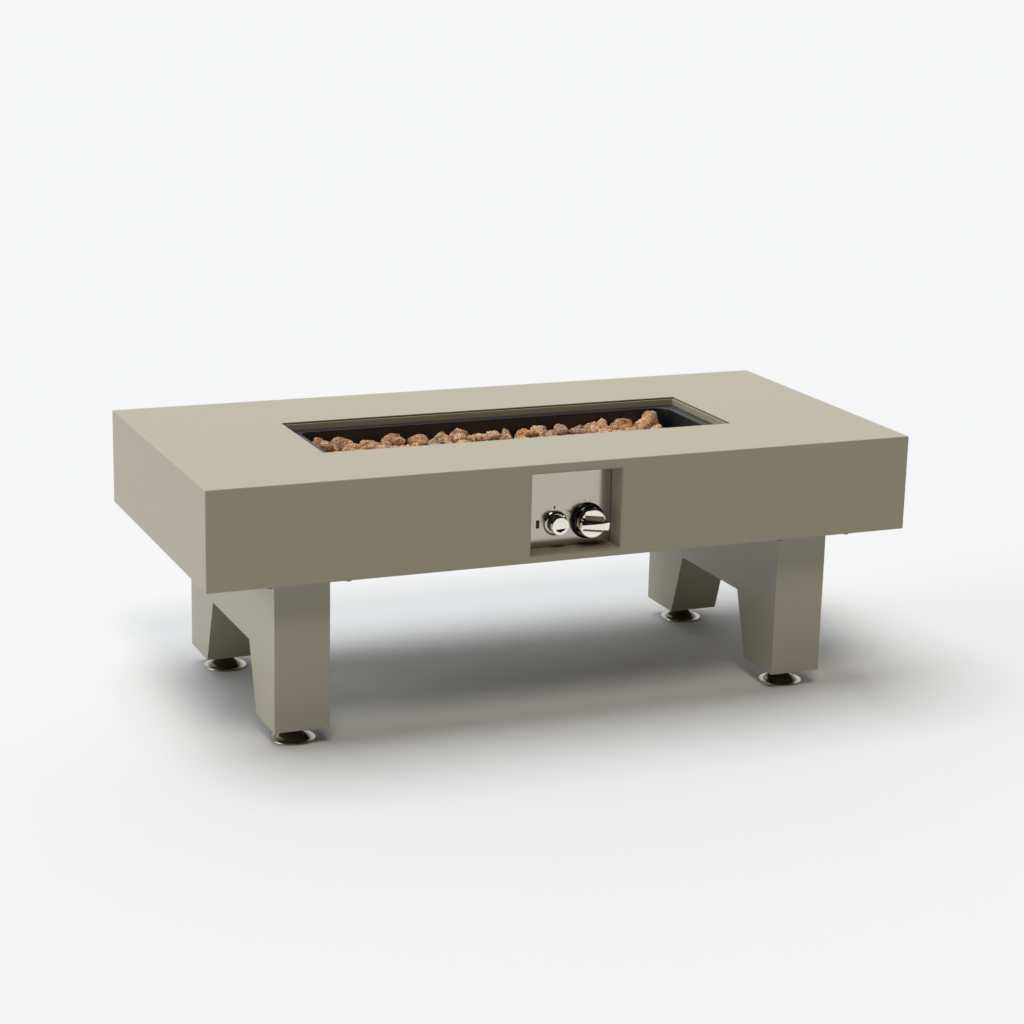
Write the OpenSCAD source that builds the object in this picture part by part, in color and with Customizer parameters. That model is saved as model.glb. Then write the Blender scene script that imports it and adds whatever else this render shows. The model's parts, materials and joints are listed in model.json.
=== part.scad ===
// Gas fire pit table: a sheet steel housing on two arched box legs, with a pan of lava rock and
// a tube burner sunk in its top, and the gas controls in a recess of its front apron.
// Millimetres. The origin is on the floor under the middle, +Z is up and the controls face -Y.

/* [Table] */
// Length of the table top
table_l = 1100; // [900:10:1400]
// Width of the table top
table_w = 520; // [500:10:700]
// Height of the table top above the floor
table_h = 400; // [380:5:480]
// Depth of the housing from top to bottom edge
apron_h = 145; // [144:1:180]
// Thickness of the housing's sheet steel
sheet_t = 1.5; // [1:0.1:2]
// Width of the lip folded in under each apron
lip_w = 25; // [20:1:32]

/* [Fire opening] */
// Room from each end of the burner to the end of the opening
opening_room = 80; // [75:1:90]
// Width of the opening in the top
opening_w = 200; // [180:5:230]
// Step from the edge of the top in to the surround's drop wall
surround_inset = 2; // [1:0.5:4]
// Thickness of the surround's sheet
surround_t = 1.5; // [1:0.1:2]
// Width of the surround's flange under the top
surround_flange_w = 20; // [18:1:24]
// Width of the ledge that carries the pan
ledge_w = 12; // [8:1:13]
// Thickness of the fibre tape over the surround's flange
gasket_t = 1.5; // [1:0.1:2.5]

/* [Burner pan] */
// Depth of the pan's flange below the table top
pan_drop = 12; // [10:0.5:16]
// Flange that shows at each end of the pan
pan_end_flange_w = 19; // [15:1:26]
// Flange that shows along each side of the pan
pan_side_flange_w = 14; // [14:1:18]
// Depth of the pan below its flange
pan_depth = 46; // [44:1:60]
// Thickness of the pan's sheet
pan_t = 1.2; // [0.8:0.1:1.6]
// Radius of the pan's inner corners
pan_corner_r = 18; // [10:1:24]

/* [Burner] */
// Length of the burner tube
burner_l = 500; // [440:10:510]
// Outer diameter of the burner tube
burner_d = 16; // [14:0.5:18]
// Height of the burner's axis above the pan floor
burner_lift = 13; // [13:0.5:15]
// Diameter of each flame port
port_d = 2; // [1.5:0.1:2.5]
// Distance between flame ports along a row
port_pitch = 20; // [12:1:30]

/* [Lava rock] */
// Length that one rock takes of its row
rock_pitch = 29; // [24:1:40]
// Height of the rocks beside the burner
rock_h = 33; // [26:1:36]
// Gap between neighbouring rocks
rock_gap = 1.5; // [1:0.5:4]
// Seed of the rocks' random shapes
rock_seed = 11; // [1:1:99]

/* [Controls] */
// Width of the recess in the front apron
recess_w = 142; // [136:1:160]
// Height of the recess
recess_h = 120; // [116:0.5:121]
// Depth of the recess's upper edge below the table top
recess_top = 14; // [12:0.5:15]
// Depth of the recess from the apron to the panel
recess_depth = 37; // [34:1:44]
// Depth of the knob's and button's axes below the table top
control_drop = 98.5; // [95:0.5:101]
// Place of the knob's axis, right of the middle
knob_x = 33.5; // [31:0.5:38]
// Diameter of the knob
knob_d = 42.2; // [38:0.2:43]
// Length of the knob's grip bar
grip_l = 44; // [40:1:50]
// Width of the knob's grip bar
grip_w = 12.6; // [10:0.2:15]
// Turn of the pointer from level when the gas is off
knob_rest_tilt = -8; // [-20:1:0]
// Travel of the knob when it is pushed in
knob_travel = 4; // [2:0.5:4]
// Place of the igniter button's axis, left of the middle
igniter_x = -17.5; // [-30:0.5:-15]
// Diameter of the igniter button
button_d = 26.6; // [26:0.2:30]
// Travel of the igniter button
button_travel = 4; // [2:0.5:4]

/* [Legs] */
// Distance from the end of the table to the leg
leg_setback = 110; // [80:5:140]
// Distance from the side of the table to the leg
leg_side_setback = 43; // [40:1:60]
// Width of each leg seen from the front
leg_w = 82; // [78:1:110]
// Thickness of the leg's sheet
leg_t = 2; // [1.5:0.1:3]
// Thickness of the plates at the leg's top and feet
leg_plate_t = 3; // [2:0.5:4]
// Width of the arch at its crown
arch_top_w = 190; // [150:5:220]
// Width of the arch at the feet
arch_foot_w = 258; // [240:2:262]
// Height of the arch above the bottom of the leg
arch_h = 103; // [80:1:130]

/* [Levelling feet] */
// Height of the leg's bottom above the floor, feet screwed in
foot_h = 26; // [24:1:34]
// Diameter of the foot's disc
foot_d = 66; // [60:1:74]
// Diameter of the foot's threaded stem
stem_d = 10; // [8:1:12]
// Length that the foot can be screwed out
foot_travel = 15; // [5:1:15]

/* [Hidden] */
$fn = 48;
// Overrun of every cut past the face it opens
over = 1;
// Gap between pieces that move against each other without a fit
seat_gap = 0.3;
// Radial clearance of a running fit
run_gap = 0.05;
// Radial clearance of a screw or tube in its hole
hole_gap = 0.15;

paint = "#A5A192";
steel = "#B9B8B4";
zinc = "#9FA1A2";
chrome = "#D9DADB";
brass = "#B08D4A";
black = "#1B1B1C";
lava = "#8C5F45";

top_z = table_h;
body_z = table_h - apron_h;
top_under_z = top_z - sheet_t;
lip_top_z = body_z + sheet_t;
front_y = -table_w / 2;

// Surround and its fastening
opening_l = burner_l + 2 * opening_room;
gasket_setback = 4;
gasket_w = 12;
flange_top_z = top_under_z - gasket_t;
flange_bottom_z = flange_top_z - surround_t;
drop_l = opening_l - 2 * surround_inset;
drop_w = opening_w - 2 * surround_inset;
well_l = drop_l - 2 * surround_t;
well_w = drop_w - 2 * surround_t;
stud_setback = 12;
stud_d = 4;
stud_l = 8;
stud_nut_af = 7;
stud_nut_h = 3.2;
stud_place_shares = [-0.75, -0.25, 0.25, 0.75];

// Pan
pan_gap = 0.5;
pan_l = well_l - 2 * pan_end_flange_w;
pan_w = well_w - 2 * pan_side_flange_w;
pan_top_z = top_z - pan_drop;
pan_flange_z = pan_top_z - pan_t;
floor_z = pan_top_z - pan_depth;
pan_under_z = floor_z - pan_t;

// Burner
burner_z = floor_z + burner_lift;
burner_t = 1;
cap_t = 1.5;
cap_plug_l = 8;
port_tilt = 35;
port_count = floor((burner_l - 4 * cap_plug_l) / port_pitch / 2);
saddle_x = burner_l * 0.34;
saddle_t = 3;
saddle_half_w = 12;
saddle_foot_l = 14;
saddle_foot_half_w = 14;
saddle_foot_t = 1.5;
saddle_screw_x = 8.5;
saddle_screw_y = 9;
pan_screw_d = 4;
pan_screw_head_d = 7;
pan_screw_head_h = 2.5;
pan_screw_l = 6;

// Gas way from the valve to the burner
feed_d = 12;
feed_bore_d = 9;
feed_elbow_d = 16;
feed_bend_r = 14;
locknut_af = 19;
locknut_h = 4;
mixer_d = 16;
mixer_bore_d = 13;
mixer_l = 78;
bell_d = 22;
bell_l = 20;
bell_taper_l = 9;
air_slot_l = 9;
air_slot_w = 11;
air_slot_inset = 6;
holder_l = 14;
holder_disc_t = 2;
holder_af = 14;
holder_bore_d = 5;
jet_d = 6;
jet_thread_l = 6;
jet_nose_l = 8;
jet_af = 7;
jet_hole_d = 1;
pipe_d = 8;
pipe_bore_d = 6;
pipe_nut_af = 14;
pipe_nut_l = 10;
outlet_d = 11;
outlet_af = 13;
outlet_bore_d = 7;
outlet_bend_r = 8;

// Rocks: bands of the pan's width, and the back row rock by rock
rock_rows = 5;
rock_sides = 7;
rock_edge_gap = 8;
rock_end_gap = 14;
rock_jitter_share = 0.22;
rock_ring_shares = [[0, 0.62], [0.42, 1.00], [0.82, 0.74]];
rock_rough_share = 0.16;
rock_square_share = 0.6;
rock_slim_share = 0.14;
back_row_left_shares = [0.022, 0.056, 0.146, 0.206, 0.282, 0.334, 0.385, 0.440, 0.476, 0.529,
    0.557, 0.606, 0.667, 0.711, 0.754, 0.789, 0.833, 0.896, 0.928];
back_row_right_shares = [0.050, 0.133, 0.204, 0.263, 0.333, 0.383, 0.437, 0.474, 0.524, 0.555,
    0.604, 0.666, 0.706, 0.750, 0.788, 0.830, 0.893, 0.926, 0.978];
back_row_height_shares = [0.89, 0.83, 0.72, 0.83, 0.74, 0.78, 0.83, 0.67, 0.70, 0.72,
    0.67, 0.74, 0.74, 0.70, 0.74, 0.83, 0.83, 0.74, 1.00];
row_height_shares = [1.10, 1.12, 1, 0.84, 1];

// Recess, panel and shield
sleeve_t = 1.5;
sleeve_flange_w = 7;
sleeve_flange_t = 1.5;
sleeve_groove_w = 1;
sleeve_groove_depth = 1.2;
panel_t = 1;
panel_y = front_y + recess_depth;
panel_back_y = panel_y + panel_t;
control_z = top_z - control_drop;
recess_z1 = top_z - recess_top;
recess_z0 = recess_z1 - recess_h;
panel_half_w = recess_w / 2 + sleeve_t + sleeve_flange_w;
panel_z0 = recess_z0 - sleeve_t - sleeve_flange_w;
panel_z1 = recess_z1 + sleeve_t + sleeve_flange_w;
panel_screw_inset = 3.5;
panel_screw_d = 3.5;
panel_screw_head_d = 6;
panel_screw_head_h = 2;
panel_screw_tip = 1.5;
shield_t = 1;
shield_gap = 5;
shield_leaf_y = -opening_w / 2 - surround_flange_w - shield_gap;
shield_drop = 75;
shield_rise = 1;

// Valve, in the panel's own axes: x right, y up, z out of the panel
valve_w = 34;
valve_up = 18;
valve_down = 26;
valve_l = 56;
valve_chamber_d = 16;
bonnet_d = 18;
bonnet_out = 3;
valve_screw_x = 13.5;
valve_screw_d = 4;
valve_screw_head_d = 7;
valve_screw_head_h = 2.5;
valve_screw_l = 9;
outlet_y = -15.5;
outlet_z = -38;
inlet_x = 8;
inlet_z = -24;
inlet_hex_af = 17;
inlet_hex_l = 6;
inlet_thread_d = 13.16;
inlet_thread_l = 12;
inlet_bore_d = 8;
spindle_d = 8;
spindle_tip_z = 20;
spindle_flat_l = 13;
spindle_flat_share = 0.7;
collar_d = 14;
collar_t = 4;
collar_top_z = -14;
plunger_d = 4;
plunger_cup_t = 3;
plunger_tip_z = -62;
chamber_floor_z = -40;
spring_in_d = 6;
spring_out_d = 13;
magnet_d = 20;
magnet_l = 40;
magnet_bore_d = 12;
magnet_bore_l = 23;
magnet_nut_af = 24;
magnet_nut_l = 4;
lead_nut_af = 8;
lead_nut_l = 12;

// Knob and bezel
bezel_d = 53.5;
bezel_bore_gap = 0.8;
bezel_bore_d = knob_d + 2 * bezel_bore_gap;
bezel_h = 9.5;
bezel_profile_shares = [[1, 0], [1, 0.2], [0.975, 0.45], [0.93, 0.75], [0.88, 0.93], [0.85, 1]];
knob_back_z = 5;
knob_face_z = 22;
knob_edge = 0.8;
knob_wall = 2.5;
knob_boss_d = 15;
knob_boss_z = 8;
knob_hollow_z = 17.5;
grip_back_z = 14;
grip_front_z = 32;
grip_edge = 1;
flank_l = 31;
flank_w = 24;
flank_drop = 1.5;
flank_sink = 0.5;
dot_d = 2.4;
dot_depth = 0.6;
dot_inset = 4;

// Igniter
barrel_d = 27;
barrel_l = 71;
neck_d = 24.6;
neck_out = 15;
neck_bore_d = 16;
neck_floor_z = -11;
battery_d = 14.2;
battery_l = 50;
battery_nub_d = 5.5;
battery_nub_l = 1;
battery_top_z = -15.5;
igniter_ring_d = 37;
igniter_ring_h = 4.2;
ring_profile_shares = [[1, 0], [1, 0.35], [0.93, 0.75], [0.78, 1]];
button_back_z = 14.5;
button_face_z = 21;
button_skin = 1.5;
button_dish_d = 17;
button_dish_depth = 1.2;
button_dish_shares = [[1, 0], [0.8, 0.36], [0.6, 0.64], [0.4, 0.84], [0.2, 0.96], [0, 1]];
button_edge = 0.8;
button_skirt_gap = 0.4;
button_plunger_d = 10;
button_plunger_z = -6.5;
button_spring_out_d = 14.8;
terminal_d = 5;
terminal_l = 3;

// Legs, rails and their screws
leg_x = table_l / 2 - leg_setback - leg_w / 2;
leg_half_d = table_w / 2 - leg_side_setback;
leg_top_z = lip_top_z;
arch_z = foot_h + arch_h;
arch_slope = (arch_foot_w - arch_top_w) / 2 / arch_h;
arch_wall_shift = leg_t * sqrt(1 + arch_slope * arch_slope);
leg_foot_y = (leg_half_d + arch_foot_w / 2) / 2;
rail_t = 2;
rail_w = 140;
rail_h = 25;
rail_gap = 1;
rail_screw_x = 57;
rail_screw_y = table_w / 2 - lip_w / 2;
rail_screw_d = 5;
rail_screw_head_d = 9.5;
rail_screw_head_h = 3.5;
rail_screw_l = 10;
leg_bolt_x = 22;
leg_bolt_y = 150;
leg_bolt_d = 8;
leg_bolt_af = 13;
leg_bolt_head_h = 5.5;
leg_bolt_flange_d = 17;
leg_bolt_flange_t = 1.6;
leg_bolt_l = 16;
weld_nut_h = 6.5;

// Feet
insert_d = 16;
insert_l = 16;
insert_flange_d = 22;
insert_flange_t = 2;
pad_h = 16.5;
pad_floor_t = 4;
pad_profile_shares = [[1, 0], [1, 0.07], [0.985, 0.11], [0.93, 0.12], [0.80, 0.12], [0.755, 0.17],
    [0.725, 0.27], [0.66, 0.43], [0.56, 0.58], [0.46, 0.73], [0.37, 0.87], [0.30, 1]];
foot_hex_af = 17;
stem_l = 60;

// Flame sensor and spark electrode, at the right end of the burner
sensor_x = burner_l / 2 + 22;
sensor_bracket_t = 1.5;
sensor_bracket_half_w = 16;
sensor_bracket_h = 30;
sensor_foot_l = 13.5;
sensor_screw_x = 8.5;
sensor_screw_y = 12;
sensor_lift = 22;
probe_y = 8;
probe_d = 5;
probe_front = 18;
probe_back = 14;
spark_y = -10;
spark_insulator_d = 7;
spark_insulator_front = 10;
spark_insulator_back = 11;
spark_rod_d = 2;
spark_rod_front = 28;
lead_hole_d = 5;

// The two leads, each from the burner's end through two clips to its control's back end
probe_lead_d = 2.4;
spark_lead_d = 3;
lead_sides = 8;
lead_stub = 4;
clip_w = 8;
clip_reach = 4;
clip_hold = 10;
clip_places = [sensor_x - 142, sensor_x - 62];
clip_route_y = [-40, -54];
clip_route_z = [floor_z - 22, floor_z - 20];
magnet_end_z = -panel_t - valve_l - magnet_l;
barrel_end_z = -panel_t - barrel_l;
probe_base = [sensor_x, probe_y, floor_z];
spark_base = [sensor_x, spark_y, floor_z];
probe_lead_drop = [[14, 0, 22], [16, 0, 22], [19, 0, 22], [23, 0, 19], [25, 0, 13], [25, 0, 3],
    [25, 0, -7], [23, -2, -15], [16, -8, -20], [3, -20, -22], [-22, -38, -22], [-44, -47, -22]];
spark_lead_drop = [[11, 0, 22], [13, 0, 22], [15, 0, 22], [18, 0, 21], [21, 0, 16], [22, 0, 6],
    [22, 0, -4], [20, -3, -14], [10, -14, -19], [-10, -32, -20], [-32, -41, -20]];
probe_swing_shares = [[0.288, 0.091, 0.108], [0.601, 0.303, 0.432], [0.850, 0.576, 0.757],
    [0.980, 0.833, 0.973]];
spark_swing_shares = [[0.173, 0.070, 0.049], [0.392, 0.279, 0.146], [0.588, 0.477, 0.293],
    [0.769, 0.628, 0.488], [0.910, 0.767, 0.683], [0.980, 0.884, 0.878]];
hole_place = 5;

// A lead's points: down through the pan, straight through the clips, then a swing to its end
function held(i) = [for (x = [clip_places[1] + clip_hold, clip_places[1] - clip_hold,
    clip_places[0] + 2 * clip_hold, clip_places[0] - clip_hold, clip_places[0] - 2 * clip_hold])
    [x, clip_route_y[i], clip_route_z[i]]];
function swing(a, b, shares) = [for (s = shares) [for (i = [0:2]) a[i] + s[i] * (b[i] - a[i])]];
function lead_route(base, drop, i, shares, end) = let (near = end + [0, 2 * lead_stub, 0],
    clips = held(i)) concat([for (d = drop) base + d], clips, swing(clips[4], near, shares),
    [near, end + [0, lead_stub, 0], end]);
probe_lead_route = lead_route(probe_base, probe_lead_drop, 0, probe_swing_shares,
    [knob_x, panel_y - magnet_end_z + lead_nut_l, control_z]);
spark_lead_route = lead_route(spark_base, spark_lead_drop, 1, spark_swing_shares,
    [igniter_x, panel_y - barrel_end_z + terminal_l, control_z]);

// A box between two opposite corners
module block(low, high) {
    translate(low) cube(high - low);
}

// A box centred on the origin in plan
module plate(l, w, z0, z1) {
    block([-l / 2, -w / 2, z0], [l / 2, w / 2, z1]);
}

// A round bar on the Z axis
module rod(d, z0, z1) {
    translate([0, 0, z0]) cylinder(d = d, h = z1 - z0);
}

// A hexagonal bar on the Z axis, by its width across flats
module hex(af, z0, z1) {
    translate([0, 0, z0]) cylinder(d = af / cos(30), h = z1 - z0, $fn = 6);
}

// A round tube on the Z axis
module pipe(d, bore, z0, z1) {
    difference() {
        rod(d, z0, z1);
        rod(bore, z0 - over, z1 + over);
    }
}

// A hexagonal nut on the Z axis
module nut(af, bore, z0, z1) {
    difference() {
        hex(af, z0, z1);
        rod(bore, z0 - over, z1 + over);
    }
}

// A block with round corners in plan
module round_plate(l, w, r, z0, z1) {
    plate(l - 2 * r, w, z0, z1);
    plate(l, w - 2 * r, z0, z1);
    for (x = [-1, 1], y = [-1, 1])
        translate([x * (l / 2 - r), y * (w / 2 - r), 0]) rod(2 * r, z0, z1);
}

// Turns the Z axis to point along +X
module along_x() {
    rotate([0, 90, 0]) children();
}

// Turns the Z axis to point along +Y
module along_y() {
    rotate([-90, 0, 0]) children();
}

// Puts children on a control's axis, +Z out of the panel and +Y up
module on_panel(x) {
    translate([x, panel_y, control_z]) rotate([90, 0, 0]) children();
}

// Copies children to the left and right, mirrored
module left_and_right() {
    children();
    mirror([1, 0, 0]) children();
}

// Copies children to the four quarters in plan, mirrored
module four_ways(x, y) {
    for (sx = [-1, 1], sy = [-1, 1]) translate([sx * x, sy * y, 0]) children();
}

function turned(v) = [for (i = [len(v) - 1:-1:0]) v[i]];
function scaled(shares, r, h) = [for (s = shares) [s[0] * r, s[1] * h]];

// A ring turned from a profile of shares of its outer radius and height
module turned_ring(shares, d, bore, h) {
    rotate_extrude() polygon(concat([[bore / 2, 0]], scaled(shares, d / 2, h), [[bore / 2, h]]));
}

module stud_places() {
    for (share = stud_place_shares, side = [-1, 1])
        translate([share * opening_l / 2, side * (opening_w / 2 + stud_setback), 0]) children();
    for (side = [-1, 1])
        translate([side * (opening_l / 2 + stud_setback), 0, 0]) children();
}

module rail_screw_places() {
    for (x = [-1, 1])
        translate([x * leg_x, 0, 0]) four_ways(rail_screw_x, rail_screw_y) children();
}

module leg_bolt_places() {
    for (x = [-1, 1])
        translate([x * leg_x, 0, 0]) four_ways(leg_bolt_x, leg_bolt_y) children();
}

module table_shell() {
    color(paint) {
        difference() {
            plate(table_l, table_w, body_z, top_z);
            plate(table_l - 2 * sheet_t, table_w - 2 * sheet_t, lip_top_z, top_under_z);
            plate(table_l - 2 * lip_w, table_w - 2 * lip_w, body_z - over, lip_top_z + over);
            plate(opening_l, opening_w, top_under_z - over, top_z + over);
            block([-recess_w / 2 - sleeve_t, front_y - over, recess_z0 - sleeve_t],
                [recess_w / 2 + sleeve_t, front_y + sheet_t + over, recess_z1 + sleeve_t]);
            rail_screw_places() rod(rail_screw_d + 2 * hole_gap, body_z - over, lip_top_z + over);
        }
        stud_places() rod(stud_d, top_under_z - stud_l, top_under_z);
    }
}

module surround_gasket() {
    gasket_l = opening_l + 2 * gasket_setback;
    gasket_in_w = opening_w + 2 * gasket_setback;
    color(black) difference() {
        plate(gasket_l + 2 * gasket_w, gasket_in_w + 2 * gasket_w, flange_top_z, top_under_z);
        plate(gasket_l, gasket_in_w, flange_top_z - over, top_under_z + over);
        stud_places() rod(stud_d + 2 * hole_gap, flange_top_z - over, top_under_z + over);
    }
}

module burner_surround() {
    color(paint) difference() {
        union() {
            plate(opening_l + 2 * surround_flange_w, opening_w + 2 * surround_flange_w,
                flange_bottom_z, flange_top_z);
            plate(drop_l, drop_w, pan_flange_z - surround_t, flange_top_z);
        }
        plate(well_l, well_w, pan_flange_z, flange_top_z + over);
        plate(well_l - 2 * ledge_w, well_w - 2 * ledge_w,
            pan_flange_z - surround_t - over, pan_flange_z + over);
        stud_places() rod(stud_d + 2 * hole_gap, flange_bottom_z - over, flange_top_z + over);
    }
}

module surround_nuts() {
    color(zinc) stud_places()
        nut(stud_nut_af, stud_d + 2 * run_gap, flange_bottom_z - stud_nut_h, flange_bottom_z);
}

module pan_screw_places() {
    for (x = [-1, 1], y = [-1, 1])
        translate([x * (saddle_x + saddle_screw_x), y * saddle_screw_y, 0]) children();
    for (y = [-1, 1])
        translate([sensor_x + sensor_screw_x, y * sensor_screw_y, 0]) children();
}

module burner_pan() {
    outer_r = pan_corner_r + pan_t;
    color(black) difference() {
        union() {
            plate(well_l - 2 * pan_gap, well_w - 2 * pan_gap, pan_flange_z, pan_top_z);
            round_plate(pan_l + 2 * pan_t, pan_w + 2 * pan_t, outer_r, pan_under_z, pan_top_z);
        }
        round_plate(pan_l, pan_w, pan_corner_r, floor_z, pan_top_z + over);
        rod(feed_d + 2 * hole_gap, pan_under_z - over, floor_z + over);
        pan_screw_places() rod(pan_screw_d + 2 * hole_gap, pan_under_z - over, floor_z + over);
        for (p = [probe_base + probe_lead_drop[hole_place], spark_base + spark_lead_drop[hole_place]])
            translate([p[0], p[1], 0]) rod(lead_hole_d, pan_under_z - over, floor_z + over);
    }
}

module burner_tube() {
    color(steel) translate([0, 0, burner_z]) difference() {
        along_x() pipe(burner_d, burner_d - 2 * burner_t, -burner_l / 2, burner_l / 2);
        for (i = [-port_count:port_count], side = [-1, 1])
            translate([i * port_pitch, 0, 0]) rotate([side * port_tilt, 0, 0])
                rod(port_d, burner_d / 4, burner_d);
        rod(feed_bore_d, -burner_d, 0);
    }
}

module burner_end_caps() {
    color(steel) translate([0, 0, burner_z]) left_and_right() along_x() {
        rod(burner_d, burner_l / 2, burner_l / 2 + cap_t);
        rod(burner_d - 2 * burner_t - 2 * run_gap, burner_l / 2 - cap_plug_l, burner_l / 2);
    }
}

module burner_saddles() {
    color(steel) left_and_right() translate([saddle_x, 0, 0]) difference() {
        union() {
            block([-saddle_t / 2, -saddle_half_w, floor_z], [saddle_t / 2, saddle_half_w, burner_z]);
            block([-saddle_t / 2, -saddle_foot_half_w, floor_z],
                [saddle_foot_l, saddle_foot_half_w, floor_z + saddle_foot_t]);
        }
        translate([-saddle_foot_l, 0, burner_z])
            along_x() rod(burner_d + 2 * run_gap, 0, 2 * saddle_foot_l);
        for (y = [-1, 1]) translate([saddle_screw_x, y * saddle_screw_y, 0])
            rod(pan_screw_d + 2 * hole_gap, floor_z - over, floor_z + saddle_foot_t + over);
    }
}

module pan_screws() {
    head_z = floor_z + saddle_foot_t;
    color(zinc) pan_screw_places() {
        rod(pan_screw_head_d, head_z, head_z + pan_screw_head_h);
        rod(pan_screw_d, pan_under_z - pan_screw_l, head_z);
    }
}

module feed_nipple() {
    color(steel) difference() {
        pipe(feed_d, feed_bore_d, control_z + outlet_y + feed_bend_r, burner_z);
        translate([-feed_d, 0, burner_z]) along_x() rod(burner_d, 0, 2 * feed_d);
    }
}

module pan_locknuts() {
    color(brass) {
        nut(locknut_af, feed_d + 2 * run_gap, floor_z, floor_z + locknut_h);
        nut(locknut_af, feed_d + 2 * run_gap, pan_under_z - locknut_h, pan_under_z);
    }
}

// A quarter bend in the local XY plane, from its start on the -Y side to its end on the +X side
module bend(d, r) {
    rotate([0, 0, -90]) rotate_extrude(angle = 90) translate([r, 0]) circle(d = d);
}

// Puts the local XY plane on the world's YZ plane
module upright() {
    rotate([90, 0, 90]) children();
}

module feed_elbow() {
    color(steel) translate([0, -feed_bend_r, control_z + outlet_y + feed_bend_r])
        upright() difference() {
            bend(feed_elbow_d, feed_bend_r);
            bend(feed_bore_d, feed_bend_r);
        }
}

module mixer_tube() {
    bell_z = mixer_l - bell_l;
    wall = (mixer_d - mixer_bore_d) / 2;
    color(steel) translate([0, -feed_bend_r, control_z + outlet_y]) rotate([90, 0, 0]) difference() {
        rotate_extrude() polygon([[mixer_bore_d / 2, 0], [mixer_d / 2, 0],
            [mixer_d / 2, bell_z - bell_taper_l], [bell_d / 2, bell_z], [bell_d / 2, mixer_l],
            [bell_d / 2 - wall, mixer_l], [bell_d / 2 - wall, bell_z],
            [mixer_bore_d / 2, bell_z - bell_taper_l]]);
        block([-bell_d, -air_slot_w / 2, mixer_l - air_slot_inset - air_slot_l],
            [bell_d, air_slot_w / 2, mixer_l - air_slot_inset]);
    }
}

// Puts children on the gas pipe's axis at the mouth of the mixer, +Z towards the valve
module at_mixer_mouth() {
    translate([0, -feed_bend_r - mixer_l, control_z + outlet_y]) rotate([90, 0, 0]) children();
}

module jet_holder() {
    color(brass) at_mixer_mouth() difference() {
        union() {
            rod(bell_d, 0, holder_disc_t);
            hex(holder_af, holder_disc_t, holder_l);
        }
        rod(jet_d + 2 * run_gap, -over, jet_thread_l);
        rod(holder_bore_d, jet_thread_l - over, holder_l + over);
    }
}

module gas_jet() {
    color(brass) at_mixer_mouth() difference() {
        union() {
            rod(jet_d, 0, jet_thread_l);
            hex(jet_af, -jet_nose_l, 0);
        }
        rod(jet_hole_d, -jet_nose_l - over, jet_thread_l + over);
    }
}

pipe_start_y = panel_y - outlet_z + outlet_bend_r;
pipe_end_y = -feed_bend_r - mixer_l - holder_l;

module on_gas_pipe() {
    translate([0, 0, control_z + outlet_y]) along_y() children();
}

module gas_pipe() {
    color(steel) on_gas_pipe() pipe(pipe_d, pipe_bore_d, pipe_start_y, pipe_end_y);
}

module pipe_nuts() {
    color(brass) on_gas_pipe() {
        nut(pipe_nut_af, pipe_d + 2 * run_gap, pipe_start_y, pipe_start_y + pipe_nut_l);
        nut(pipe_nut_af, pipe_d + 2 * run_gap, pipe_end_y - pipe_nut_l, pipe_end_y);
    }
}

module outlet_elbow() {
    straight_l = knob_x - valve_w / 2 - outlet_bend_r;
    color(brass) translate([outlet_bend_r, pipe_start_y - outlet_bend_r, control_z + outlet_y])
        difference() {
            union() {
                translate([0, outlet_bend_r, 0]) rotate([0, 0, -90]) bend(outlet_d, outlet_bend_r);
                along_x() hex(outlet_af, 0, straight_l);
            }
            translate([0, outlet_bend_r, 0]) rotate([0, 0, -90]) bend(pipe_bore_d, outlet_bend_r);
            along_x() rod(outlet_bore_d, -seat_gap, straight_l + over);
        }
}

module valve_body() {
    color(zinc) on_panel(knob_x) difference() {
        union() {
            block([-valve_w / 2, -valve_down, -panel_t - valve_l],
                [valve_w / 2, valve_up, -panel_t]);
            rod(bonnet_d, -panel_t, bonnet_out);
        }
        rod(spindle_d + 2 * run_gap, collar_top_z, bonnet_out + over);
        rod(valve_chamber_d, chamber_floor_z, collar_top_z + seat_gap);
        rod(plunger_d + 2 * run_gap, -panel_t - valve_l - over, chamber_floor_z + over);
        translate([-valve_w / 2 - over, outlet_y, outlet_z])
            along_x() rod(pipe_bore_d, 0, valve_w / 2);
        translate([inlet_x, 0, inlet_z]) rotate([90, 0, 0])
            rod(inlet_bore_d, 0, valve_down + over);
        for (x = [-1, 1]) translate([x * valve_screw_x, 0, 0])
            rod(valve_screw_d + 2 * run_gap, -valve_screw_l - over, 0);
    }
}

module valve_screws() {
    color(zinc) on_panel(knob_x) for (x = [-1, 1]) translate([x * valve_screw_x, 0, 0]) {
        rod(valve_screw_head_d, 0, valve_screw_head_h);
        rod(valve_screw_d, -valve_screw_l, 0);
    }
}

module gas_inlet() {
    color(brass) on_panel(knob_x) translate([inlet_x, -valve_down, inlet_z])
        rotate([90, 0, 0]) difference() {
            union() {
                hex(inlet_hex_af, 0, inlet_hex_l);
                rod(inlet_thread_d, inlet_hex_l, inlet_hex_l + inlet_thread_l);
            }
            rod(inlet_bore_d, -over, inlet_hex_l + inlet_thread_l + over);
        }
}

module magnet_unit() {
    face_z = -panel_t - valve_l;
    color(brass) on_panel(knob_x) difference() {
        union() {
            rod(magnet_d, face_z - magnet_l, face_z);
            hex(magnet_nut_af, face_z - magnet_nut_l, face_z);
        }
        rod(magnet_bore_d, face_z - magnet_bore_l, face_z + over);
    }
}

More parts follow.
